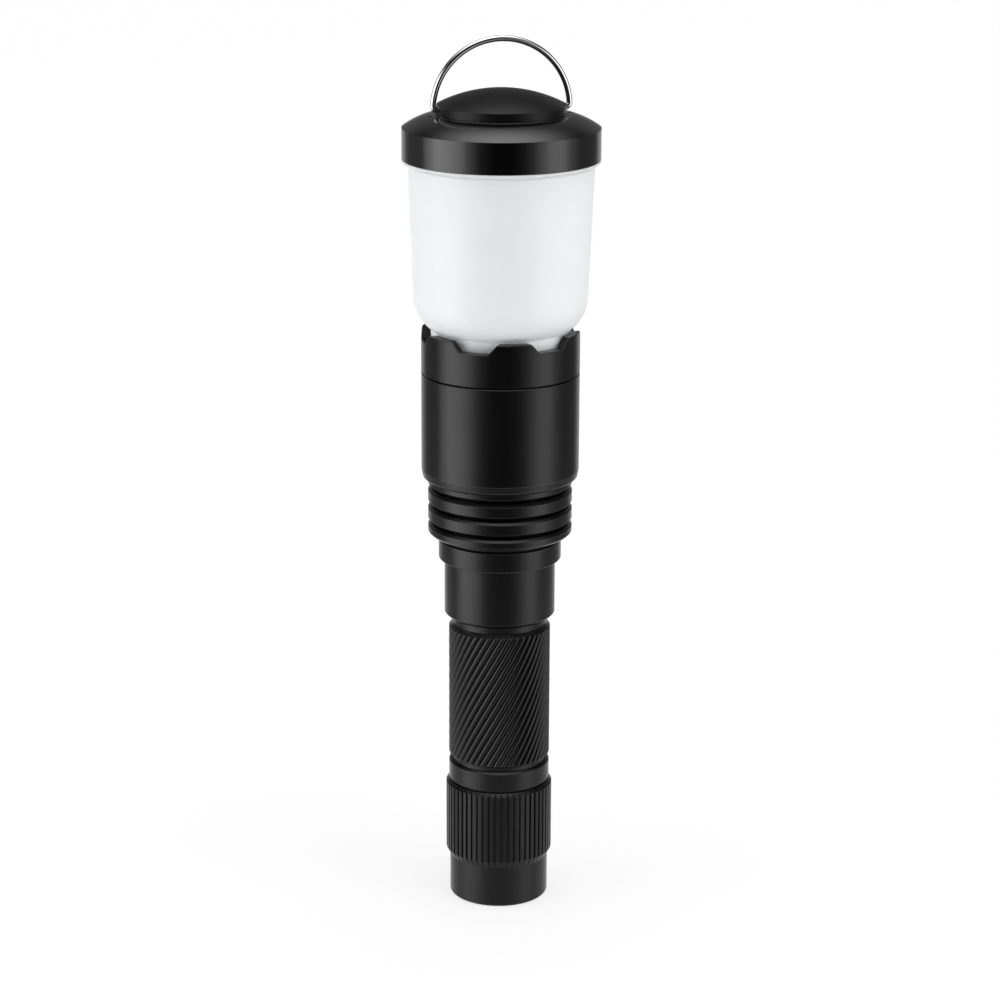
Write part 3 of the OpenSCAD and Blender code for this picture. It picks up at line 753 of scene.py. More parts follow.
def frosted_white():
    """Frosted translucent white plastic."""
    base = tone("frosted")
    made, tree, shader = principled(
        "Frosted diffuser", base, Subsurface_Weight=0.75, Subsurface_Radius=(1.0, 1.0, 1.0),
        Subsurface_Scale=6 * MM)
    cloud = remap(tree, noise(tree, 55.0, 3.0, 0.5), 0.35, 0.65, 0.0, 1.0)
    frost = noise(tree, 5200.0, 2.0, 0.6)
    feed(tree, shader, {
        "Base Color": blend_colour(tree, cloud, scaled(base, 0.972), base),
        "Roughness": remap(tree, frost, 0.3, 0.7, 0.36, 0.50)})
    bump(tree, shader, frost, 0.35, 0.01)
    return made


def moulded(name, base, roughness, grain=3000.0, depth=0.006, scatter=0.0):
    """Moulded plastic or rubber with a fine texture and slightly uneven colour."""
    made, tree, shader = principled(
        name, base, Subsurface_Weight=scatter, Subsurface_Scale=2 * MM)
    patch = remap(tree, noise(tree, 160.0, 4.0, 0.6), 0.35, 0.65, 0.0, 1.0)
    fine = noise(tree, grain, 2.0, 0.5)
    feed(tree, shader, {
        "Base Color": blend_colour(tree, patch, scaled(base, 0.9), base),
        "Roughness": remap(tree, fine, 0.3, 0.7, roughness - 0.05, roughness + 0.05)})
    bump(tree, shader, fine, 0.4, depth)
    return made


def bright_metal(name, base, roughness, stain):
    """Bare metal with drawing lines and a slight stain."""
    made, tree, shader = principled(name, base, Metallic=1.0)
    texture = use_group(
        tree, "Turned grain", grain_group, Grain=7000.0, Rings=4200.0, Ring_share=0.4)
    share = remap(tree, texture["Handling"], 0.35, 0.7, 0.0, 1.0)
    feed(tree, shader, {
        "Base Color": blend_colour(tree, share, base, stain),
        "Roughness": remap(
            tree, texture["Handling"], 0.3, 0.7, roughness * 0.8, roughness * 1.3)})
    bump(tree, shader, texture["Height"], 0.3, 0.002)
    return made


def solder_mask():
    """Green circuit board with faint tracks."""
    base = tone("board")
    made, tree, shader = principled("Circuit board", base, Roughness=0.32)
    tracks = add(tree, "ShaderNodeTexVoronoi", feature="DISTANCE_TO_EDGE", distance="CHEBYCHEV")
    feed(tree, tracks, {"Scale": 420.0, "Vector": object_point(tree)})
    line = remap(tree, tracks.outputs["Distance"], 0.05, 0.09, 1.0, 0.0)
    feed(tree, shader, {"Base Color": blend_colour(tree, line, base, scaled(base, 1.9))})
    bump(tree, shader, line, 0.5, 0.02)
    return made


def shrink_wrap():
    """Shrink wrap of the cell, with bare ends."""
    base = tone("wrap")
    low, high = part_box("battery")
    made, tree, shader = principled("Battery wrap", base)
    z = split(tree, object_point(tree))["Z"]
    near_top = remap(tree, z, high.z - 0.9 * MM, high.z - 0.7 * MM, 0.0, 1.0)
    near_foot = remap(tree, z, low.z + 0.1 * MM, low.z + 0.2 * MM, 1.0, 0.0)
    bare = maths(tree, "MAXIMUM", near_top, near_foot)
    crease = noise(tree, 260.0, 4.0, 0.6)
    shade = blend_colour(tree, remap(tree, crease, 0.4, 0.6, 0.0, 0.4), base, (0.02, 0.07, 0.2))
    feed(tree, shader, {
        "Base Color": blend_colour(tree, bare, shade, (0.62, 0.62, 0.6)), "Metallic": bare,
        "Roughness": remap(tree, crease, 0.3, 0.7, 0.2, 0.36)})
    bump(tree, shader, crease, 0.4, 0.03)
    return made


def phosphor():
    """Phosphor square under a clear silicone dome."""
    base = tone("phosphor")
    made, tree, shader = principled("LED phosphor", base, Roughness=0.18, Coat_Weight=0.6)
    x, y, z = split(tree, object_point(tree))
    across = maths(tree, "MAXIMUM", maths(tree, "ABSOLUTE", x), maths(tree, "ABSOLUTE", y))
    rim = remap(tree, across, 1.75 * MM, 1.85 * MM, 0.0, 1.0)
    speckle = remap(tree, noise(tree, 9000.0, 2.0, 0.5), 0.4, 0.6, 0.0, 0.25)
    grainy = blend_colour(tree, speckle, base, (0.9, 0.8, 0.35))
    feed(tree, shader, {"Base Color": blend_colour(tree, rim, grainy, (0.8, 0.8, 0.78))})
    return made


def lens_glass():
    """Clear glass with a little roughness from handling."""
    made, tree, shader = principled(
        "Lens glass", (0.94, 0.98, 0.99), Transmission_Weight=1.0, IOR=1.5)
    smudge = remap(tree, noise(tree, 120.0, 4.0, 0.6), 0.45, 0.75, 0.015, 0.05)
    feed(tree, shader, {"Roughness": smudge})
    bump(tree, shader, noise(tree, 90.0, 2.0, 0.5), 0.1, 0.004)
    return made


FINISH_BUILDERS = {
    "anodised_black": lambda: coated_black(
        "Black anodised aluminium", tone("anodised"), tone("anodised_worn"),
        0.235, 0.03, 0.5, 9000.0, 0.5, 0.004, 0.27),
    "gloss_black": lambda: coated_black(
        "Gloss black plastic", tone("gloss_black"), (0.03, 0.03, 0.032),
        0.17, 0.02, 0.3, 1800.0, 0.15, 0.003),
    "satin_black": lambda: coated_black(
        "Satin black plastic", tone("satin_black"), (0.04, 0.04, 0.042),
        0.30, 0.03, 0.3, 5200.0, 0.1, 0.006, 0.13),
    "frosted_white": frosted_white,
    "white_plastic": lambda: moulded("White plastic", tone("white_plastic"), 0.4, scatter=0.1),
    "red_plastic": lambda: moulded("Red plastic", tone("red_plastic"), 0.35),
    "black_rubber": lambda: moulded("Black rubber", tone("rubber"), 0.62, 2600.0, 0.02),
    "spring_steel": lambda: bright_metal(
        "Spring steel", tone("spring_steel"), 0.26, (0.48, 0.44, 0.36)),
    "stainless_wire": lambda: bright_metal(
        "Stainless wire", tone("bail_steel"), 0.11, (0.58, 0.58, 0.60)),
    "brass": lambda: bright_metal("Brass", tone("brass"), 0.24, (0.52, 0.34, 0.13)),
    "circuit_board": solder_mask,
    "battery_wrap": shrink_wrap,
    "led_phosphor": phosphor,
    "lens_glass": lens_glass,
}
FINISHES_MADE = {}


def finish(slot):
    """The material of a slot, built on its first use."""
    if slot not in FINISHES_MADE:
        FINISHES_MADE[slot] = FINISH_BUILDERS[slot]()
    return FINISHES_MADE[slot]


# ---- Pieces ----

def tail_cap_mesh(sizes):
    """Tail cap: plain skirt, straight ribs cut through both chamfers, switch chamber inside."""
    r = sizes.diameter / 2
    top = sizes.height
    skirt_r = sizes.skirt_diameter / 2
    skirt_z = sizes.skirt_height
    rim_r = skirt_r - sizes.foot_rim
    hole_r = sizes.boot_hole / 2
    floor_z = sizes.foot_recess + sizes.floor
    chamber_r = sizes.chamber / 2
    thread_r = sizes.thread / 2
    outline = [
        (rim_r, 0.0, 0.25 * MM),
        (skirt_r, 0.0, 0.7 * MM),
        (skirt_r, skirt_z, 0.15 * MM),
        (r, skirt_z + 1.8 * MM, 0.3 * MM),
        (r, top - 0.8 * MM, 0.15 * MM),
        (r - 0.75 * MM, top, 0.12 * MM),
        (thread_r, top, 0.2 * MM),
        (thread_r, sizes.thread_start, 0.0),
        (chamber_r, sizes.thread_start, 0.0),
        (chamber_r, floor_z, 0.0),
        (hole_r, floor_z, 0.0),
        (hole_r, sizes.foot_recess, 0.15 * MM),
        (rim_r, sizes.foot_recess, 0.2 * MM),
    ]
    points = rounded(outline)
    points = divided(points, 0.16 * MM, skirt_z + 0.1 * MM, skirt_z + 1.9 * MM)
    points = divided(points, 0.16 * MM, top - 1.1 * MM, top)
    # Share of the pitch, and height of the rib there.
    half = [(0.5, 1.0), (0.40, 1.0), (0.30, 1.0), (0.235, 0.98), (0.205, 0.9), (0.18, 0.72),
            (0.15, 0.42), (0.12, 0.14), (0.09, 0.0)]
    columns = [(-u, s) for u, s in half] + [(0.0, 0.0)] + [(u, s) for u, s in reversed(half)]
    root = r - sizes.rib_depth
    pitch = 2 * math.pi / sizes.rib_count

    def place(radius, z, column):
        share, rise = column
        if radius > root and z > skirt_z:
            radius = min(radius, root + sizes.rib_depth * rise)
        angle = pitch * share
        return (radius * math.cos(angle), radius * math.sin(angle), z)

    return sector("Tail cap sector", points, columns, place)


def seal_groove(radius, z, depth):
    """Outline of the groove of an O-ring at a height."""
    low, high = z - 0.8 * MM, z + 0.8 * MM
    floor = radius - depth
    return [(radius, low, 0.0), (floor, low, 0.0), (floor, high, 0.0), (radius, high, 0.0)]


def tube_mesh(sizes):
    """Battery tube: threads, plain ring, helical grip between two grooves, and plain neck."""
    bore_r = sizes.bore / 2
    tail_r = sizes.tail_thread / 2
    front_r = sizes.front_thread / 2
    ring_r = sizes.ring_diameter / 2
    groove_r = sizes.groove_diameter / 2
    grip_r = sizes.grip_diameter / 2
    neck_r = sizes.neck_diameter / 2
    ring_z = sizes.ring_z
    groove_z = ring_z + sizes.ring_height
    grip_z = groove_z + sizes.groove_height
    grip_top = grip_z + sizes.grip_height
    neck_top = sizes.neck_z + sizes.neck_height
    low = foot_of("battery_tube")
    high = top_of("battery_tube")
    seal = 1.55 * MM
    tail_seal = ring_z - 1.15 * MM
    neck_seal = neck_top + 1.15 * MM
    outline = [
        (bore_r, low, 0.1 * MM),
        (tail_r, low, 0.4 * MM),
        *seal_groove(tail_r, tail_seal, seal),
        (tail_r, ring_z, 0.0),
        (ring_r, ring_z, 0.12 * MM),
        (ring_r, groove_z - 0.5 * MM, 0.12 * MM),
        (ring_r - 0.5 * MM, groove_z, 0.1 * MM),
        (groove_r, groove_z, 0.2 * MM),
        (groove_r, grip_z - 0.55 * MM, 0.1 * MM),
        (grip_r, grip_z + 0.1 * MM, 0.2 * MM),
        (grip_r, grip_top + 0.35 * MM, 0.1 * MM),
        (grip_r - 0.5 * MM, grip_top + 0.85 * MM, 0.08 * MM),
        (groove_r, grip_top + 1.6 * MM, 0.3 * MM),
        (groove_r, sizes.neck_z, 0.3 * MM),
        (neck_r - 1.0 * MM, sizes.neck_z, 0.15 * MM),
        (neck_r, sizes.neck_z + 1.0 * MM, 0.15 * MM),
        (neck_r, neck_top, 0.0),
        (front_r, neck_top, 0.0),
        *seal_groove(front_r, neck_seal, seal),
        (front_r, high, 0.4 * MM),
        (bore_r, high, 0.1 * MM),
    ]
    points = rounded(outline, 4)
    points = divided(points, 0.14 * MM, grip_z - 0.6 * MM, grip_z + 0.3 * MM)
    points = divided(points, 0.2 * MM, grip_top - 0.35 * MM, grip_top + 1.7 * MM)
    points = divided(points, 1.1 * MM, grip_z, grip_top + 2 * MM)
    steps = 44
    wall = [
        (bore_r, high - 0.3 * MM + (low - high + 0.6 * MM) * k / steps, 0.0) for k in range(steps + 1)
    ]
    outside = [i for i, p in enumerate(points) if p[0] > bore_r + 0.01 * MM]
    points = points[outside[0]:outside[-1] + 1] + wall
    root = grip_r - sizes.ridge_depth
    pitch = 2 * math.pi / sizes.ridge_count
    crest_power = 2.4
    shares = [0.0, 0.22, 0.42, 0.6, 0.76, 0.89, 1.0]
    columns = [-s / 2 for s in reversed(shares)] + [s / 2 for s in shares[1:]]

    def place(radius, z, column):
        if radius > root and grip_z - 0.6 * MM < z < grip_top + 1.7 * MM:
            rise = 1.0 - abs(2 * column) ** crest_power
            radius = min(radius, root + sizes.ridge_depth * rise)
        angle = pitch * column
        return (radius * math.cos(angle), radius * math.sin(angle), z)

    return sector("Battery tube sector", points, columns, place), grip_z, grip_top + 1.6 * MM


def heat_sink_mesh(sizes):
    """Heat sink: collar, fins, the sleeve that the head slides on, and the sealed flange."""
    low = foot_of("heat_sink")
    high = top_of("heat_sink")
    front_bore = 12.9 * MM
    pill_bore = 14.0 * MM
    pill_seat = 101.9 * MM
    collar_r = sizes.collar_diameter / 2
    collar_top = low + sizes.collar_height
    r = sizes.fin_diameter / 2
    root = sizes.root_diameter / 2
    sleeve_r = sizes.sleeve_diameter / 2
    flange_r = sizes.flange_diameter / 2
    flange_z = high - 5.2 * MM
    bevel = 0.65 * MM

    def fin(a, b):
        return [
            (root, a, 0.12 * MM), (r - bevel, a, 0.08 * MM), (r, a + bevel, 0.14 * MM),
            (r, b - bevel, 0.14 * MM), (r - bevel, b, 0.08 * MM), (root, b, 0.12 * MM),
        ]

    first = low + sizes.collar_height + 1.7 * MM
    second = first + sizes.low_fin_height + sizes.fin_gap
    third = second + sizes.fin_height + sizes.fin_gap
    stop = third + sizes.fin_height + sizes.fin_gap
    stop_top = stop + sizes.stop_fin_height
    outline = [
        (front_bore, low, 0.0),
        (collar_r, low, 0.35 * MM),
        (collar_r, collar_top, 0.35 * MM),
        (collar_r - 0.5 * MM, collar_top + 0.6 * MM, 0.12 * MM),
    ]
    outline += fin(first, first + sizes.low_fin_height)
    outline += fin(second, second + sizes.fin_height)
    outline += fin(third, third + sizes.fin_height)
    outline += [
        (root, stop, 0.12 * MM),
        (r - bevel, stop, 0.08 * MM),
        (r, stop + bevel, 0.14 * MM),
        (r, stop_top, 0.1 * MM),
        (sleeve_r, stop_top, 0.1 * MM),
        (sleeve_r, flange_z, 0.1 * MM),
        (flange_r, flange_z, 0.1 * MM),
    ]
    for seal_z in (flange_z + 1.5 * MM, high - 1.5 * MM):
        outline += seal_groove(flange_r, seal_z, 1.5 * MM)
    outline += [
        (flange_r, high, 0.3 * MM),
        (pill_bore, high, 0.1 * MM),
        (pill_bore, pill_seat, 0.0),
        (front_bore, pill_seat, 0.0),
    ]
    return turned("Heat sink", rounded(outline))


def head_mesh(sizes):
    """Head shell: smooth sleeve with a rounded lower edge and a bevelled top edge."""
    r = sizes.diameter / 2
    bore = sizes.bore / 2
    lip_r = 17.55 * MM
    thread_r = sizes.thread / 2
    low = sizes.foot
    shelf = foot_of("strike_bezel") - 0.3 * MM
    outline = [
        (lip_r, low, 0.1 * MM),
        (r - 0.95 * MM, low, 0.35 * MM),
        (r - 0.3 * MM, low + 0.55 * MM, 0.5 * MM),
        (r, low + 2.3 * MM, 1.2 * MM),
        (r, sizes.top - 0.42 * MM, 0.08 * MM),
        (r - 0.42 * MM, sizes.top, 0.04 * MM),
        (thread_r, sizes.top, 0.0),
        (thread_r, shelf, 0.0),
        (bore, shelf, 0.0),
        (bore, low + sizes.lip_height, 0.0),
        (lip_r, low + sizes.lip_height, 0.0),
    ]
    return turned("Head shell", rounded(outline, 6))


def soft_ramp(x, start, end, ease):
    """0 before start, 1 after end, straight between, with eased corners."""
    total = 0.0
    samples = 9
    for k in range(samples):
        shifted = x + ease * (k / (samples - 1) - 0.5)
        total += min(1.0, max(0.0, (shifted - start) / (end - start)))
    return total / samples


def bezel_mesh(sizes):
    """Strike bezel: one sixth of it, with the gap between two teeth in its middle."""
    r = sizes.diameter / 2
    mouth = sizes.mouth / 2
    socket = sizes.socket / 2
    ledge = sizes.ledge / 2
    skirt_r = 18.85 * MM
    skirt_bore = 17.95 * MM
    step_z = 149.6 * MM
    ledge_z = 136.6 * MM
    ledge_top = ledge_z + 1.4 * MM
    seam = sizes.shoulder
    top = sizes.top
    outline = [
        (skirt_bore, sizes.foot, 0.0),
        (skirt_r, sizes.foot, 0.0),
        (skirt_r, seam, 0.0),
        (r - 0.1 * MM, seam, 0.02 * MM),
        (r, seam + 0.08 * MM, 0.02 * MM),
        (r, top, 0.26 * MM),
        (mouth, top, 0.16 * MM),
        (mouth, step_z, 0.0),
        (socket, step_z, 0.1 * MM),
        (socket, ledge_top, 0.0),
        (ledge, ledge_top, 0.0),
        (ledge, ledge_z, 0.0),
        (skirt_bore, ledge_z, 0.0),
    ]
    points = rounded(outline)
    half_turn = math.pi / sizes.tooth_count
    mouth_half = sizes.gap_mouth / 2
    floor_half = sizes.gap_floor / 2
    flank_end = mouth_half + 0.5 * MM
    edge_x = r * math.sin(half_turn)
    # Half widths in millimetres, closest together at the gap's corners.
    stations = [0.0, 1.2, 2.3, 3.2, 3.5, 3.6, 3.66, 3.72, 3.78, 3.86, 4.1, 4.8, 5.5, 5.75, 5.82, 5.88,
                5.94, 6.0, 6.1, 6.4]
    half = [x * MM for x in stations] + [flank_end + (edge_x - flank_end) * k / 6 for k in range(1, 7)]
    columns = [-x for x in reversed(half[1:])] + half
    ease = 0.2 * MM
    centre = math.radians(-90.0) + half_turn + sizes.turn

    def place(radius, z, column):
        x = abs(column)
        if x <= flank_end:
            angle = math.asin(x / radius)
        else:
            share = (x - flank_end) / (edge_x - flank_end)
            inner = math.asin(flank_end / radius)
            angle = inner + (half_turn - inner) * share
        drop = sizes.tooth_height * (1.0 - soft_ramp(x, floor_half, mouth_half, ease))
        if z > top - 0.5 * MM:
            z -= drop
        angle = centre + math.copysign(angle, column)
        return (radius * math.cos(angle), radius * math.sin(angle), z)

    return sector("Strike bezel sector", points, columns, place)


def diffuser_mesh(sizes):
    """Diffuser: neck, round foot, tapered wall, lip under the cap and spigot inside it."""
    spout_r = sizes.spout / 2
    foot_r = sizes.foot_diameter / 2
    low_r = sizes.low_diameter / 2
    high_r = sizes.high_diameter / 2
    cap_r = sizes.cap_diameter / 2
    wall = sizes.wall
    bend = sizes.foot_round
    low = foot_of("diffuser")
    high = top_of("diffuser")
    ledge = 149.65 * MM
    lean = math.acos((foot_r - low_r + bend) / bend)
    side_z = sizes.foot_z + bend * math.sin(lean)
    rim = sizes.rim_z
    lip = sizes.lip
    spigot = cap_r - 1.85 * MM
    outline = [
        (spout_r - wall, low, 0.3 * MM),
        (spout_r, low, 0.4 * MM),
        (spout_r, ledge, 0.0),
        (foot_r - 0.15 * MM, ledge, 0.1 * MM),
        (foot_r - 0.15 * MM, ledge + 1.1 * MM, 0.0),
        (foot_r, ledge + 1.3 * MM, 0.0),
    ]
    outline += arc((low_r - bend, side_z), bend, -lean, 0.0, 18)
    outline += [
        (high_r, rim - lip - 0.5 * MM, 0.5 * MM),
        (cap_r - 0.5 * MM, rim - lip - 0.1 * MM, 0.2 * MM),
        (cap_r, rim - lip + 0.25 * MM, 0.25 * MM),
        (cap_r, rim - 0.05 * MM, 0.08 * MM),
        (spigot, rim - 0.05 * MM, 0.1 * MM),
        (spigot, high, 0.2 * MM),
        (spigot - wall, high, 0.2 * MM),
        (spigot - wall, rim, 0.5 * MM),
        (high_r - wall, rim - 2 * MM, 0.5 * MM),
    ]
    outline += arc((low_r - bend, side_z), bend - wall, 0.0, -lean, 18)
    outline += [(spout_r - wall, ledge, 0.4 * MM)]
    return turned("Diffuser", rounded(outline))


def cap_mesh(sizes):
    """Cap: upright side, sloping shoulder and the seat of the dome, spot-faced for the bail."""
    cap_r = sizes.cap_diameter / 2
    inner = cap_r - 1.8 * MM
    dome_r = sizes.dome_diameter / 2
    rim = sizes.rim_z
    corner = Vector((cap_r, rim + sizes.cap_side))
    seat = Vector((dome_r + 0.4 * MM, corner.y + sizes.shoulder_height))
    across = corner - seat
    normal = Vector((across.y, -across.x)).normalized()
    away = math.sqrt(sizes.shoulder_round ** 2 - across.length_squared / 4)
    centre = (seat + corner) / 2 + normal * away
    if centre.y > seat.y:
        centre = (seat + corner) / 2 - normal * away
    start = math.atan2(corner.y - centre.y, corner.x - centre.x)
    end = math.atan2(seat.y - centre.y, seat.x - centre.x)
    shoulder = arc(centre, sizes.shoulder_round, start, end, 16)
    seat_z = seat.y - 0.4 * MM
    roof = seat_z - 2.4 * MM
    outline = [
        (inner, rim, 0.1 * MM),
        (cap_r, rim, 0.2 * MM),
        (corner.x, corner.y, 0.12 * MM),
    ]
    outline += shoulder[1:-1]
    outline += [
        (seat.x + 0.1 * MM, seat.y - 0.4 * MM, 0.1 * MM),
        (seat.x - 0.05 * MM, seat.y, 0.22 * MM),
        (dome_r + 0.02 * MM, seat.y, 0.0),
        (dome_r + 0.02 * MM, seat_z, 0.0),
        (1.75 * MM, seat_z, 0.0),
        (1.75 * MM, roof, 0.0),
        (inner, roof, 0.0),
    ]
    mesh = turned("Cap", rounded(outline), FINE_SEGMENTS)
    spot_r = 1.6 * MM
    cuts = [(spot_r, side * (dome_r + 0.3 * MM), side * (dome_r + 4.1 * MM)) for side in (1, -1)]
    return drilled(mesh, "Cap", cuts)


def dome_mesh(sizes):
    """Dome: flat seat, upright edge and a shallow crown, drilled for the bail."""
    dome_r = sizes.dome_diameter / 2
    edge_z = sizes.rim_z + sizes.cap_side + sizes.shoulder_height
    seat_z = edge_z - 0.4 * MM
    side_top = edge_z + sizes.dome_side
    rise = sizes.dome_rise
    ball = (dome_r ** 2 + rise ** 2) / (2 * rise)
    lean = math.asin(dome_r / ball)
    crown = arc((0.0, side_top + rise - ball), ball, math.pi / 2 - lean, math.pi / 2, 24)
    crown[-1] = (0.0, crown[-1][1], 0.0)
    outline = [
        (0.0, seat_z, 0.0),
        (dome_r, seat_z, 0.2 * MM),
        (dome_r, side_top, 0.3 * MM),
    ]
    outline += crown[1:]
    mesh = turned("Dome", rounded(outline), FINE_SEGMENTS)
    hole_r = 0.8 * MM
    hole_end = 12.6 * MM
    cuts = [(hole_r, side * hole_end, side * (dome_r + 0.5 * MM)) for side in (1, -1)]
    return drilled(mesh, "Dome", cuts)


def boot_mesh():
    """Rubber boot: clamped flange, thin side and a shallow crown over the plunger."""
    low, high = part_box("switch_boot")
    flange_r = (high.x - low.x) / 2
    floor_z = 5.0 * MM
    r = 7.4 * MM
    wall = 1.1 * MM
    crown = 1.7 * MM
    ball = (r ** 2 + crown ** 2) / (2 * crown)
    lean = math.asin(r / ball)
    tip = low.z
    outline = [
        (0.0, tip + wall, 0.0),
        (3.8 * MM, tip + wall, 0.3 * MM),
        (r - wall, tip + crown + 0.2 * MM, 0.4 * MM),
        (r - wall, high.z, 0.0),
        (flange_r, high.z, 0.0),
        (flange_r, floor_z, 0.0),
        (r, floor_z, 0.0),
    ]
    side = arc((0.0, tip + ball), ball, lean - math.pi / 2, -math.pi / 2, 12)
    side[-1] = (0.0, tip, 0.0)
    side[0] = (side[0][0], side[0][1], 0.4 * MM)
    outline += side
    outline.reverse()
    return turned("Switch boot", rounded(outline), 96)


def lens_mesh():
    """Plano-convex lens: flat back, thin rim and a deep dome."""
    low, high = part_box("lens")
    rim_r = (high.x - low.x) / 2
    rim_top = low.z + 1.8 * MM
    dome_r = 16.45 * MM
    rise = high.z - rim_top
    ball = (dome_r ** 2 + rise ** 2) / (2 * rise)
    start = math.acos(dome_r / ball)
    dome = arc((0.0, high.z - ball), ball, start if rise < dome_r else -start, math.pi / 2, 32)
    dome[-1] = (0.0, high.z, 0.0)
    outline = [
        (0.0, low.z, 0.0),
        (rim_r, low.z, 0.15 * MM),
        (rim_r, rim_top, 0.15 * MM),
        (dome_r, rim_top, 0.0),
    ]
    outline += dome[1:]
    return turned("Lens", rounded(outline), 128)


def coil_points(node, wire, turns):
    """Path of a compression spring with a closed turn at each end, inside a CAD node's box."""
    low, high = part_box(node)
    radius = (high.x - low.x) / 2 - wire / 2
    bottom = low.z + wire / 2
    rise = high.z - low.z - wire
    steps = int(turns * 32)
    points = []
    for i in range(steps + 1):
        share = i / steps
        ramp = soft_ramp(share, 0.08, 0.92, 0.12)
        angle = 2 * math.pi * turns * share
        z = bottom + rise * ramp
        points.append((radius * math.cos(angle), radius * math.sin(angle), z))
    return points


def bail_points(sizes):
    """Path of the bail: in from each pivot, round a short bend and over in a half circle."""
    radius = sizes.bail_radius
    bend = sizes.bail_bend
    start = math.asin(bend / radius)
    shoulder = radius * math.cos(start)
    right = [(sizes.bail_reach, 0.0)]
    for k in range(9):
        a = math.pi / 2 * k / 8
        right.append((shoulder - bend + bend * math.sin(a), bend - bend * math.cos(a)))
    arch = [
        (radius * math.cos(start + (math.pi - 2 * start) * k / 72),
         radius * math.sin(start + (math.pi - 2 * start) * k / 72))
        for k in range(1, 72)
    ]
    left = [(-x, z) for x, z in reversed(right)]
    return [(x, 0.0, PIVOT_Z + z) for x, z in right + arch + left]


# ---- Operators ----

class FLASHLIGHT_OT_tail_cap(bpy.types.Operator):
    """Build the ribbed tail cap"""

    bl_idname = "flashlight.tail_cap"
    bl_label = "Tail cap"

    def execute(self, context):
        sizes = context.scene.flashlight.tail
        black = finish("anodised_black")
        mesh = ring_of(tail_cap_mesh(sizes), "Tail cap", sizes.rib_count, black)
        piece("skin_tail_cap", mesh, "tail", "anodised_black", None, "tail_cap")
        return {"FINISHED"}


class FLASHLIGHT_OT_switch(bpy.types.Operator):
    """Build the rubber boot and the switch spring, which stay fixed in place when the button is pressed
    """

    bl_idname = "flashlight.switch"
    bl_label = "Switch boot and spring"

    def execute(self, context):
        wires = context.scene.flashlight.wires
        mesh = boot_mesh()
        boot = piece("skin_boot", mesh, None, "black_rubber", finish("black_rubber"), "switch_boot")
        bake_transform(boot)
        points = coil_points("switch_spring", wires.switch_wire, 4)
        mesh = wire_mesh("Switch spring", points, wires.switch_wire, 10, finish("spring_steel"))
        spring = piece("skin_switch_spring", mesh, None, "spring_steel", None, "switch_spring")
        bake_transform(spring)
        return {"FINISHED"}


class FLASHLIGHT_OT_contact_springs(bpy.types.Operator):
    """Build the springs that press on both ends of the cell"""

    bl_idname = "flashlight.contact_springs"
    bl_label = "Contact springs"

    def execute(self, context):
        wires = context.scene.flashlight.wires
        steel = finish("spring_steel")
        points = coil_points("tail_spring", wires.tail_wire, 6)
        mesh = wire_mesh("Tail spring", points, wires.tail_wire, 12, steel)
        spring = piece("skin_tail_spring", mesh, None, "spring_steel", None, "tail_spring")
        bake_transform(spring)
        points = coil_points("driver_spring", wires.driver_wire, 4)
        mesh = wire_mesh("Driver spring", points, wires.driver_wire, 12, steel)
        piece("skin_driver_spring", mesh, "barrel", "spring_steel", None, "driver_spring")
        return {"FINISHED"}


class FLASHLIGHT_OT_battery_tube(bpy.types.Operator):
    """Build the battery tube with its helical grip"""

    bl_idname = "flashlight.battery_tube"
    bl_label = "Battery tube"

    def execute(self, context):
        sizes = context.scene.flashlight.tube
        part, start, end = tube_mesh(sizes)
        twist = 2 * math.pi * (end - start) / sizes.ridge_lead
        mesh = ring_of(
            part, "Battery tube", sizes.ridge_count, finish("anodised_black"), twist, start, end)
        piece("skin_battery_tube", mesh, "barrel", "anodised_black", None, "battery_tube")
        return {"FINISHED"}


class FLASHLIGHT_OT_heat_sink(bpy.types.Operator):
    """Build the collar and the cooling fins"""

    bl_idname = "flashlight.heat_sink"
    bl_label = "Heat sink"

    def execute(self, context):
        mesh = heat_sink_mesh(context.scene.flashlight.sink)
        piece("skin_heat_sink", mesh, "barrel", "anodised_black", finish("anodised_black"), "heat_sink")
        return {"FINISHED"}


class FLASHLIGHT_OT_head(bpy.types.Operator):
    """Build the sliding head shell, the toothed bezel and the lens"""

    bl_idname = "flashlight.head"
    bl_label = "Head"

    def execute(self, context):
        settings = context.scene.flashlight
        black = finish("anodised_black")
        mesh = head_mesh(settings.head)
        piece("skin_head_shell", mesh, "head", "anodised_black", black, "head_shell")
        part = bezel_mesh(settings.bezel)
        mesh = ring_of(part, "Strike bezel", settings.bezel.tooth_count, black)
        piece("skin_strike_bezel", mesh, "head", "anodised_black", None, "strike_bezel")
        mesh = lens_mesh()
        piece("skin_lens", mesh, "head", "lens_glass", finish("lens_glass"), "lens")
        return {"FINISHED"}


class FLASHLIGHT_OT_lantern(bpy.types.Operator):
    """Build the frosted diffuser, its cap and the dome"""

    bl_idname = "flashlight.lantern"
    bl_label = "Lantern"

    def execute(self, context):
        sizes = context.scene.flashlight.lantern
        makers = (
            ("skin_diffuser", diffuser_mesh, "frosted_white", "diffuser"),
            ("skin_top_cap", cap_mesh, "gloss_black", "top_cap"),
            ("skin_cap_dome", dome_mesh, "satin_black", "cap_dome"),
        )
        for name, build, slot, node in makers:
            mesh = build(sizes)
            piece(name, mesh, "lantern", slot, finish(slot), node)
        return {"FINISHED"}


class FLASHLIGHT_OT_bail(bpy.types.Operator):
    """Build the wire bail"""

    bl_idname = "flashlight.bail"
    bl_label = "Bail"

    def execute(self, context):
        wires = context.scene.flashlight.wires
        steel = finish("stainless_wire")
        mesh = wire_mesh("Bail", bail_points(wires), wires.bail_wire, 32, steel)
        piece("skin_bail", mesh, "bail", "stainless_wire", None, "bail")
        return {"FINISHED"}


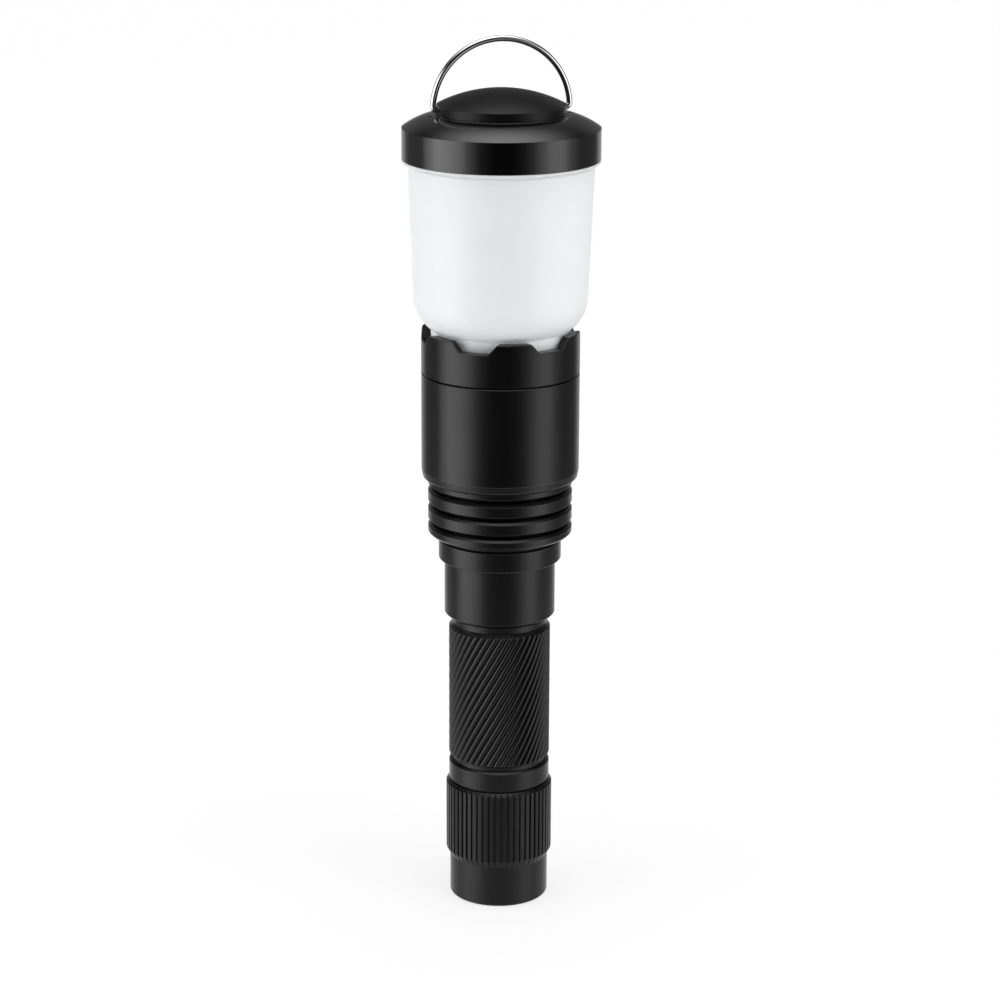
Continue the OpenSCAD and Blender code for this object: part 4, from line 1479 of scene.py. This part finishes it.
class FLASHLIGHT_OT_inner_parts(bpy.types.Operator):
    """Give every inner part the finish of its slot"""

    bl_idname = "flashlight.inner_parts"
    bl_label = "Inner parts"

    def execute(self, context):
        for part in frame["record"]["subparts"]:
            mesh = frame["nodes"][part["node"]].data
            made = finish(part["material_slot"])
            if not mesh.materials:
                mesh.materials.append(made)
            for i in range(len(mesh.materials)):
                mesh.materials[i] = made
        return {"FINISHED"}


# Angle from the camera in degrees, and brightness of the side softboxes there.
SOFTBOX_STOPS = (
    (-180, 0.0), (-140, 0.05), (-104, 0.08), (-92, 0.5), (-78, 1.0), (-62, 0.92), (-48, 0.66),
    (-36, 0.22), (-24, 0.04), (-8, 0.0), (10, 0.0), (24, 0.02), (36, 0.10), (48, 0.34), (60, 0.62),
    (74, 0.60), (88, 0.20), (104, 0.06), (140, 0.04), (180, 0.0),
)


def studio_world(settings):
    """World: white to the eye, with a softbox on each side and a light overhead for the rest."""
    world = bpy.data.worlds.new("Studio")
    world.use_nodes = True
    tree = world.node_tree
    tree.nodes.clear()
    aim = add(tree, "ShaderNodeVectorRotate", rotation_type="Z_AXIS")
    feed(tree, aim, {
        "Vector": add(tree, "ShaderNodeTexCoord").outputs["Generated"], "Angle": settings.turn})
    x, y, z = split(tree, aim.outputs[0])
    around = maths(tree, "ARCTAN2", x, maths(tree, "MULTIPLY", y, -1.0))
    ramp = add(tree, "ShaderNodeValToRGB", {"Fac": remap(tree, around, -math.pi, math.pi, 0.0, 1.0)})
    ramp.color_ramp.interpolation = "EASE"
    elements = ramp.color_ramp.elements
    for i, (angle, level) in enumerate(SOFTBOX_STOPS):
        position = angle / 360.0 + 0.5
        element = elements[i] if i < 2 else elements.new(position)
        element.position = position
        element.color = (level, level, level, 1.0)
    fade = remap(tree, z, 0.30, 0.60, 1.0, 0.0)
    low = remap(tree, z, -0.90, -0.6, 0.0, 1.0)
    sides = maths(tree, "MULTIPLY", ramp.outputs["Color"], maths(tree, "MULTIPLY", fade, low))
    sides = maths(tree, "MULTIPLY", sides, settings.softbox)
    dusk = maths(tree, "POWER", remap(tree, z, 0.57, 1.0, 0.0, 1.0), 2.4)
    above = maths(tree, "MULTIPLY", dusk, settings.overhead)
    behind = remap(
        tree, maths(tree, "ABSOLUTE", around), math.radians(138), math.radians(156), 0.0, 1.0)
    backdrop = maths(tree, "MULTIPLY", behind, remap(tree, z, -0.10, 0.10, 1.0, 0.25))
    backdrop = maths(tree, "MULTIPLY", backdrop, settings.backdrop)
    light = maths(tree, "ADD", maths(tree, "ADD", sides, above), backdrop)
    shown = add(tree, "ShaderNodeLightPath").outputs
    seen = maths(tree, "MAXIMUM", shown["Is Camera Ray"], shown["Is Transmission Ray"])
    level = add(tree, "ShaderNodeMix", data_type="FLOAT")
    feed(tree, level, {0: seen, 2: light, 3: 1.0})
    glow = add(tree, "ShaderNodeBackground", {
        "Color": (1.0, 1.0, 1.0, 1.0), "Strength": level.outputs[0]})
    add(tree, "ShaderNodeOutputWorld", {"Surface": glow.outputs[0]})
    return world


def floor_finish(settings):
    """White floor that keeps a share of its light from the studio, so a shadow shows on it."""
    made = bpy.data.materials.new("Studio floor")
    made.use_nodes = True
    tree = made.node_tree
    tree.nodes.clear()
    shade = settings.shadow
    lit = add(tree, "ShaderNodeBsdfDiffuse", {"Color": (shade, shade, shade, 1.0)})
    own = add(tree, "ShaderNodeEmission", {"Strength": 1.0 - FLOOR_LIGHT_LOST * shade})
    both = add(tree, "ShaderNodeAddShader", {0: lit.outputs[0], 1: own.outputs[0]})
    away = add(tree, "ShaderNodeVectorMath", {0: object_point(tree)}, operation="LENGTH")
    near = remap(tree, away.outputs["Value"], 0.0, settings.floor_reach, FLOOR_IN_GLOSS, 0.0)
    shown = add(tree, "ShaderNodeLightPath").outputs
    direct = maths(tree, "SUBTRACT", 1.0, shown["Is Glossy Ray"])
    clear = add(tree, "ShaderNodeBsdfTransparent")
    mix = add(tree, "ShaderNodeMixShader", {
        0: maths(tree, "MAXIMUM", near, direct), 1: clear.outputs[0], 2: both.outputs[0]})
    add(tree, "ShaderNodeOutputMaterial", {"Surface": mix.outputs[0]})
    return made


class FLASHLIGHT_OT_stage(bpy.types.Operator):
    """Set up the camera, the studio light and the white floor"""

    bl_idname = "flashlight.stage"
    bl_label = "Stage"

    def execute(self, context):
        settings = context.scene.flashlight.studio
        scene = context.scene
        lens = bpy.data.cameras.new("Camera")
        lens.lens = settings.lens
        lens.sensor_width = 36.0
        lens.clip_start = 0.05
        lens.clip_end = 100.0
        camera = placed("Camera", lens)
        away = Vector((-math.sin(settings.turn), -math.cos(settings.turn), 0.0))
        camera.location = away * settings.distance + Vector((0.0, 0.0, settings.height))
        look = -away * math.cos(settings.pitch) - Vector((0.0, 0.0, math.sin(settings.pitch)))
        upright = look.to_track_quat("-Z", "Y").to_matrix()
        lean = Matrix.Rotation(settings.roll, 3, look)
        camera.rotation_euler = (lean @ upright).to_euler()
        scene.camera = camera
        fill = bpy.data.lights.new("Fill", "AREA")
        fill.shape = "DISK"
        fill.size = FILL_DISK
        fill.energy = settings.fill
        lamp = placed("Fill", fill)
        side = Vector((-away.y, away.x, 0.0))
        near, aside, high = FILL_PLACE
        lamp.location = away * near + side * aside + Vector((0.0, 0.0, high))
        target = Vector((0.0, 0.0, FILL_TARGET))
        lamp.rotation_euler = (target - lamp.location).to_track_quat("-Z", "Y").to_euler()
        lamp.visible_glossy = False
        lamp.visible_camera = False
        scene.world = studio_world(settings)
        scene.view_settings.view_transform = "Standard"
        half = FLOOR_HALF
        mesh = bpy.data.meshes.new("Floor")
        z = CAD_BOX[0][2] - FLOOR_DROP
        mesh.from_pydata(
            [(-half, -half, z), (half, -half, z), (half, half, z), (-half, half, z)], [], [(0, 1, 2, 3)])
        mesh.materials.append(floor_finish(settings))
        floor = placed("Floor", mesh)
        floor.visible_diffuse = False
        floor.visible_shadow = False
        return {"FINISHED"}


class FLASHLIGHT_PT_panel(bpy.types.Panel):
    """Panel that lists the flashlight's settings and builders"""

    bl_label = "Flashlight"
    bl_idname = "FLASHLIGHT_PT_panel"
    bl_space_type = "VIEW_3D"
    bl_region_type = "UI"
    bl_category = "Flashlight"

    def draw(self, context):
        settings = context.scene.flashlight
        for label, group in (
                ("Tail cap", settings.tail), ("Battery tube", settings.tube),
                ("Heat sink", settings.sink), ("Head", settings.head), ("Bezel", settings.bezel),
                ("Lantern", settings.lantern), ("Wires", settings.wires),
                ("Finishes", settings.finishes), ("Studio", settings.studio)):
            box = self.layout.box()
            box.label(text=label)
            for name in group.__annotations__:
                box.prop(group, name)
        for step in STEPS:
            self.layout.operator(step.bl_idname)


STEPS = (
    FLASHLIGHT_OT_stage,
    FLASHLIGHT_OT_inner_parts,
    FLASHLIGHT_OT_tail_cap,
    FLASHLIGHT_OT_switch,
    FLASHLIGHT_OT_contact_springs,
    FLASHLIGHT_OT_battery_tube,
    FLASHLIGHT_OT_heat_sink,
    FLASHLIGHT_OT_head,
    FLASHLIGHT_OT_lantern,
    FLASHLIGHT_OT_bail,
)
GROUPS = (
    TailCapSizes,
    TubeSizes,
    HeatSinkSizes,
    HeadSizes,
    BezelSizes,
    LanternSizes,
    WireSizes,
    Finishes,
    StudioSettings,
    FlashlightSettings,
)


def register():
    """Register the settings, the operators and the panel."""
    for item in (*GROUPS, *STEPS, FLASHLIGHT_PT_panel):
        bpy.utils.register_class(item)
    bpy.types.Scene.flashlight = bpy.props.PointerProperty(type=FlashlightSettings)


def unregister():
    """Take all of it away again."""
    del bpy.types.Scene.flashlight
    for item in reversed((*GROUPS, *STEPS, FLASHLIGHT_PT_panel)):
        bpy.utils.unregister_class(item)


def main():
    """Build the stage and every piece."""
    register()
    for step in STEPS:
        area, name = step.bl_idname.split(".")
        getattr(getattr(bpy.ops, area), name)()


if __name__ == "__main__":
    main()
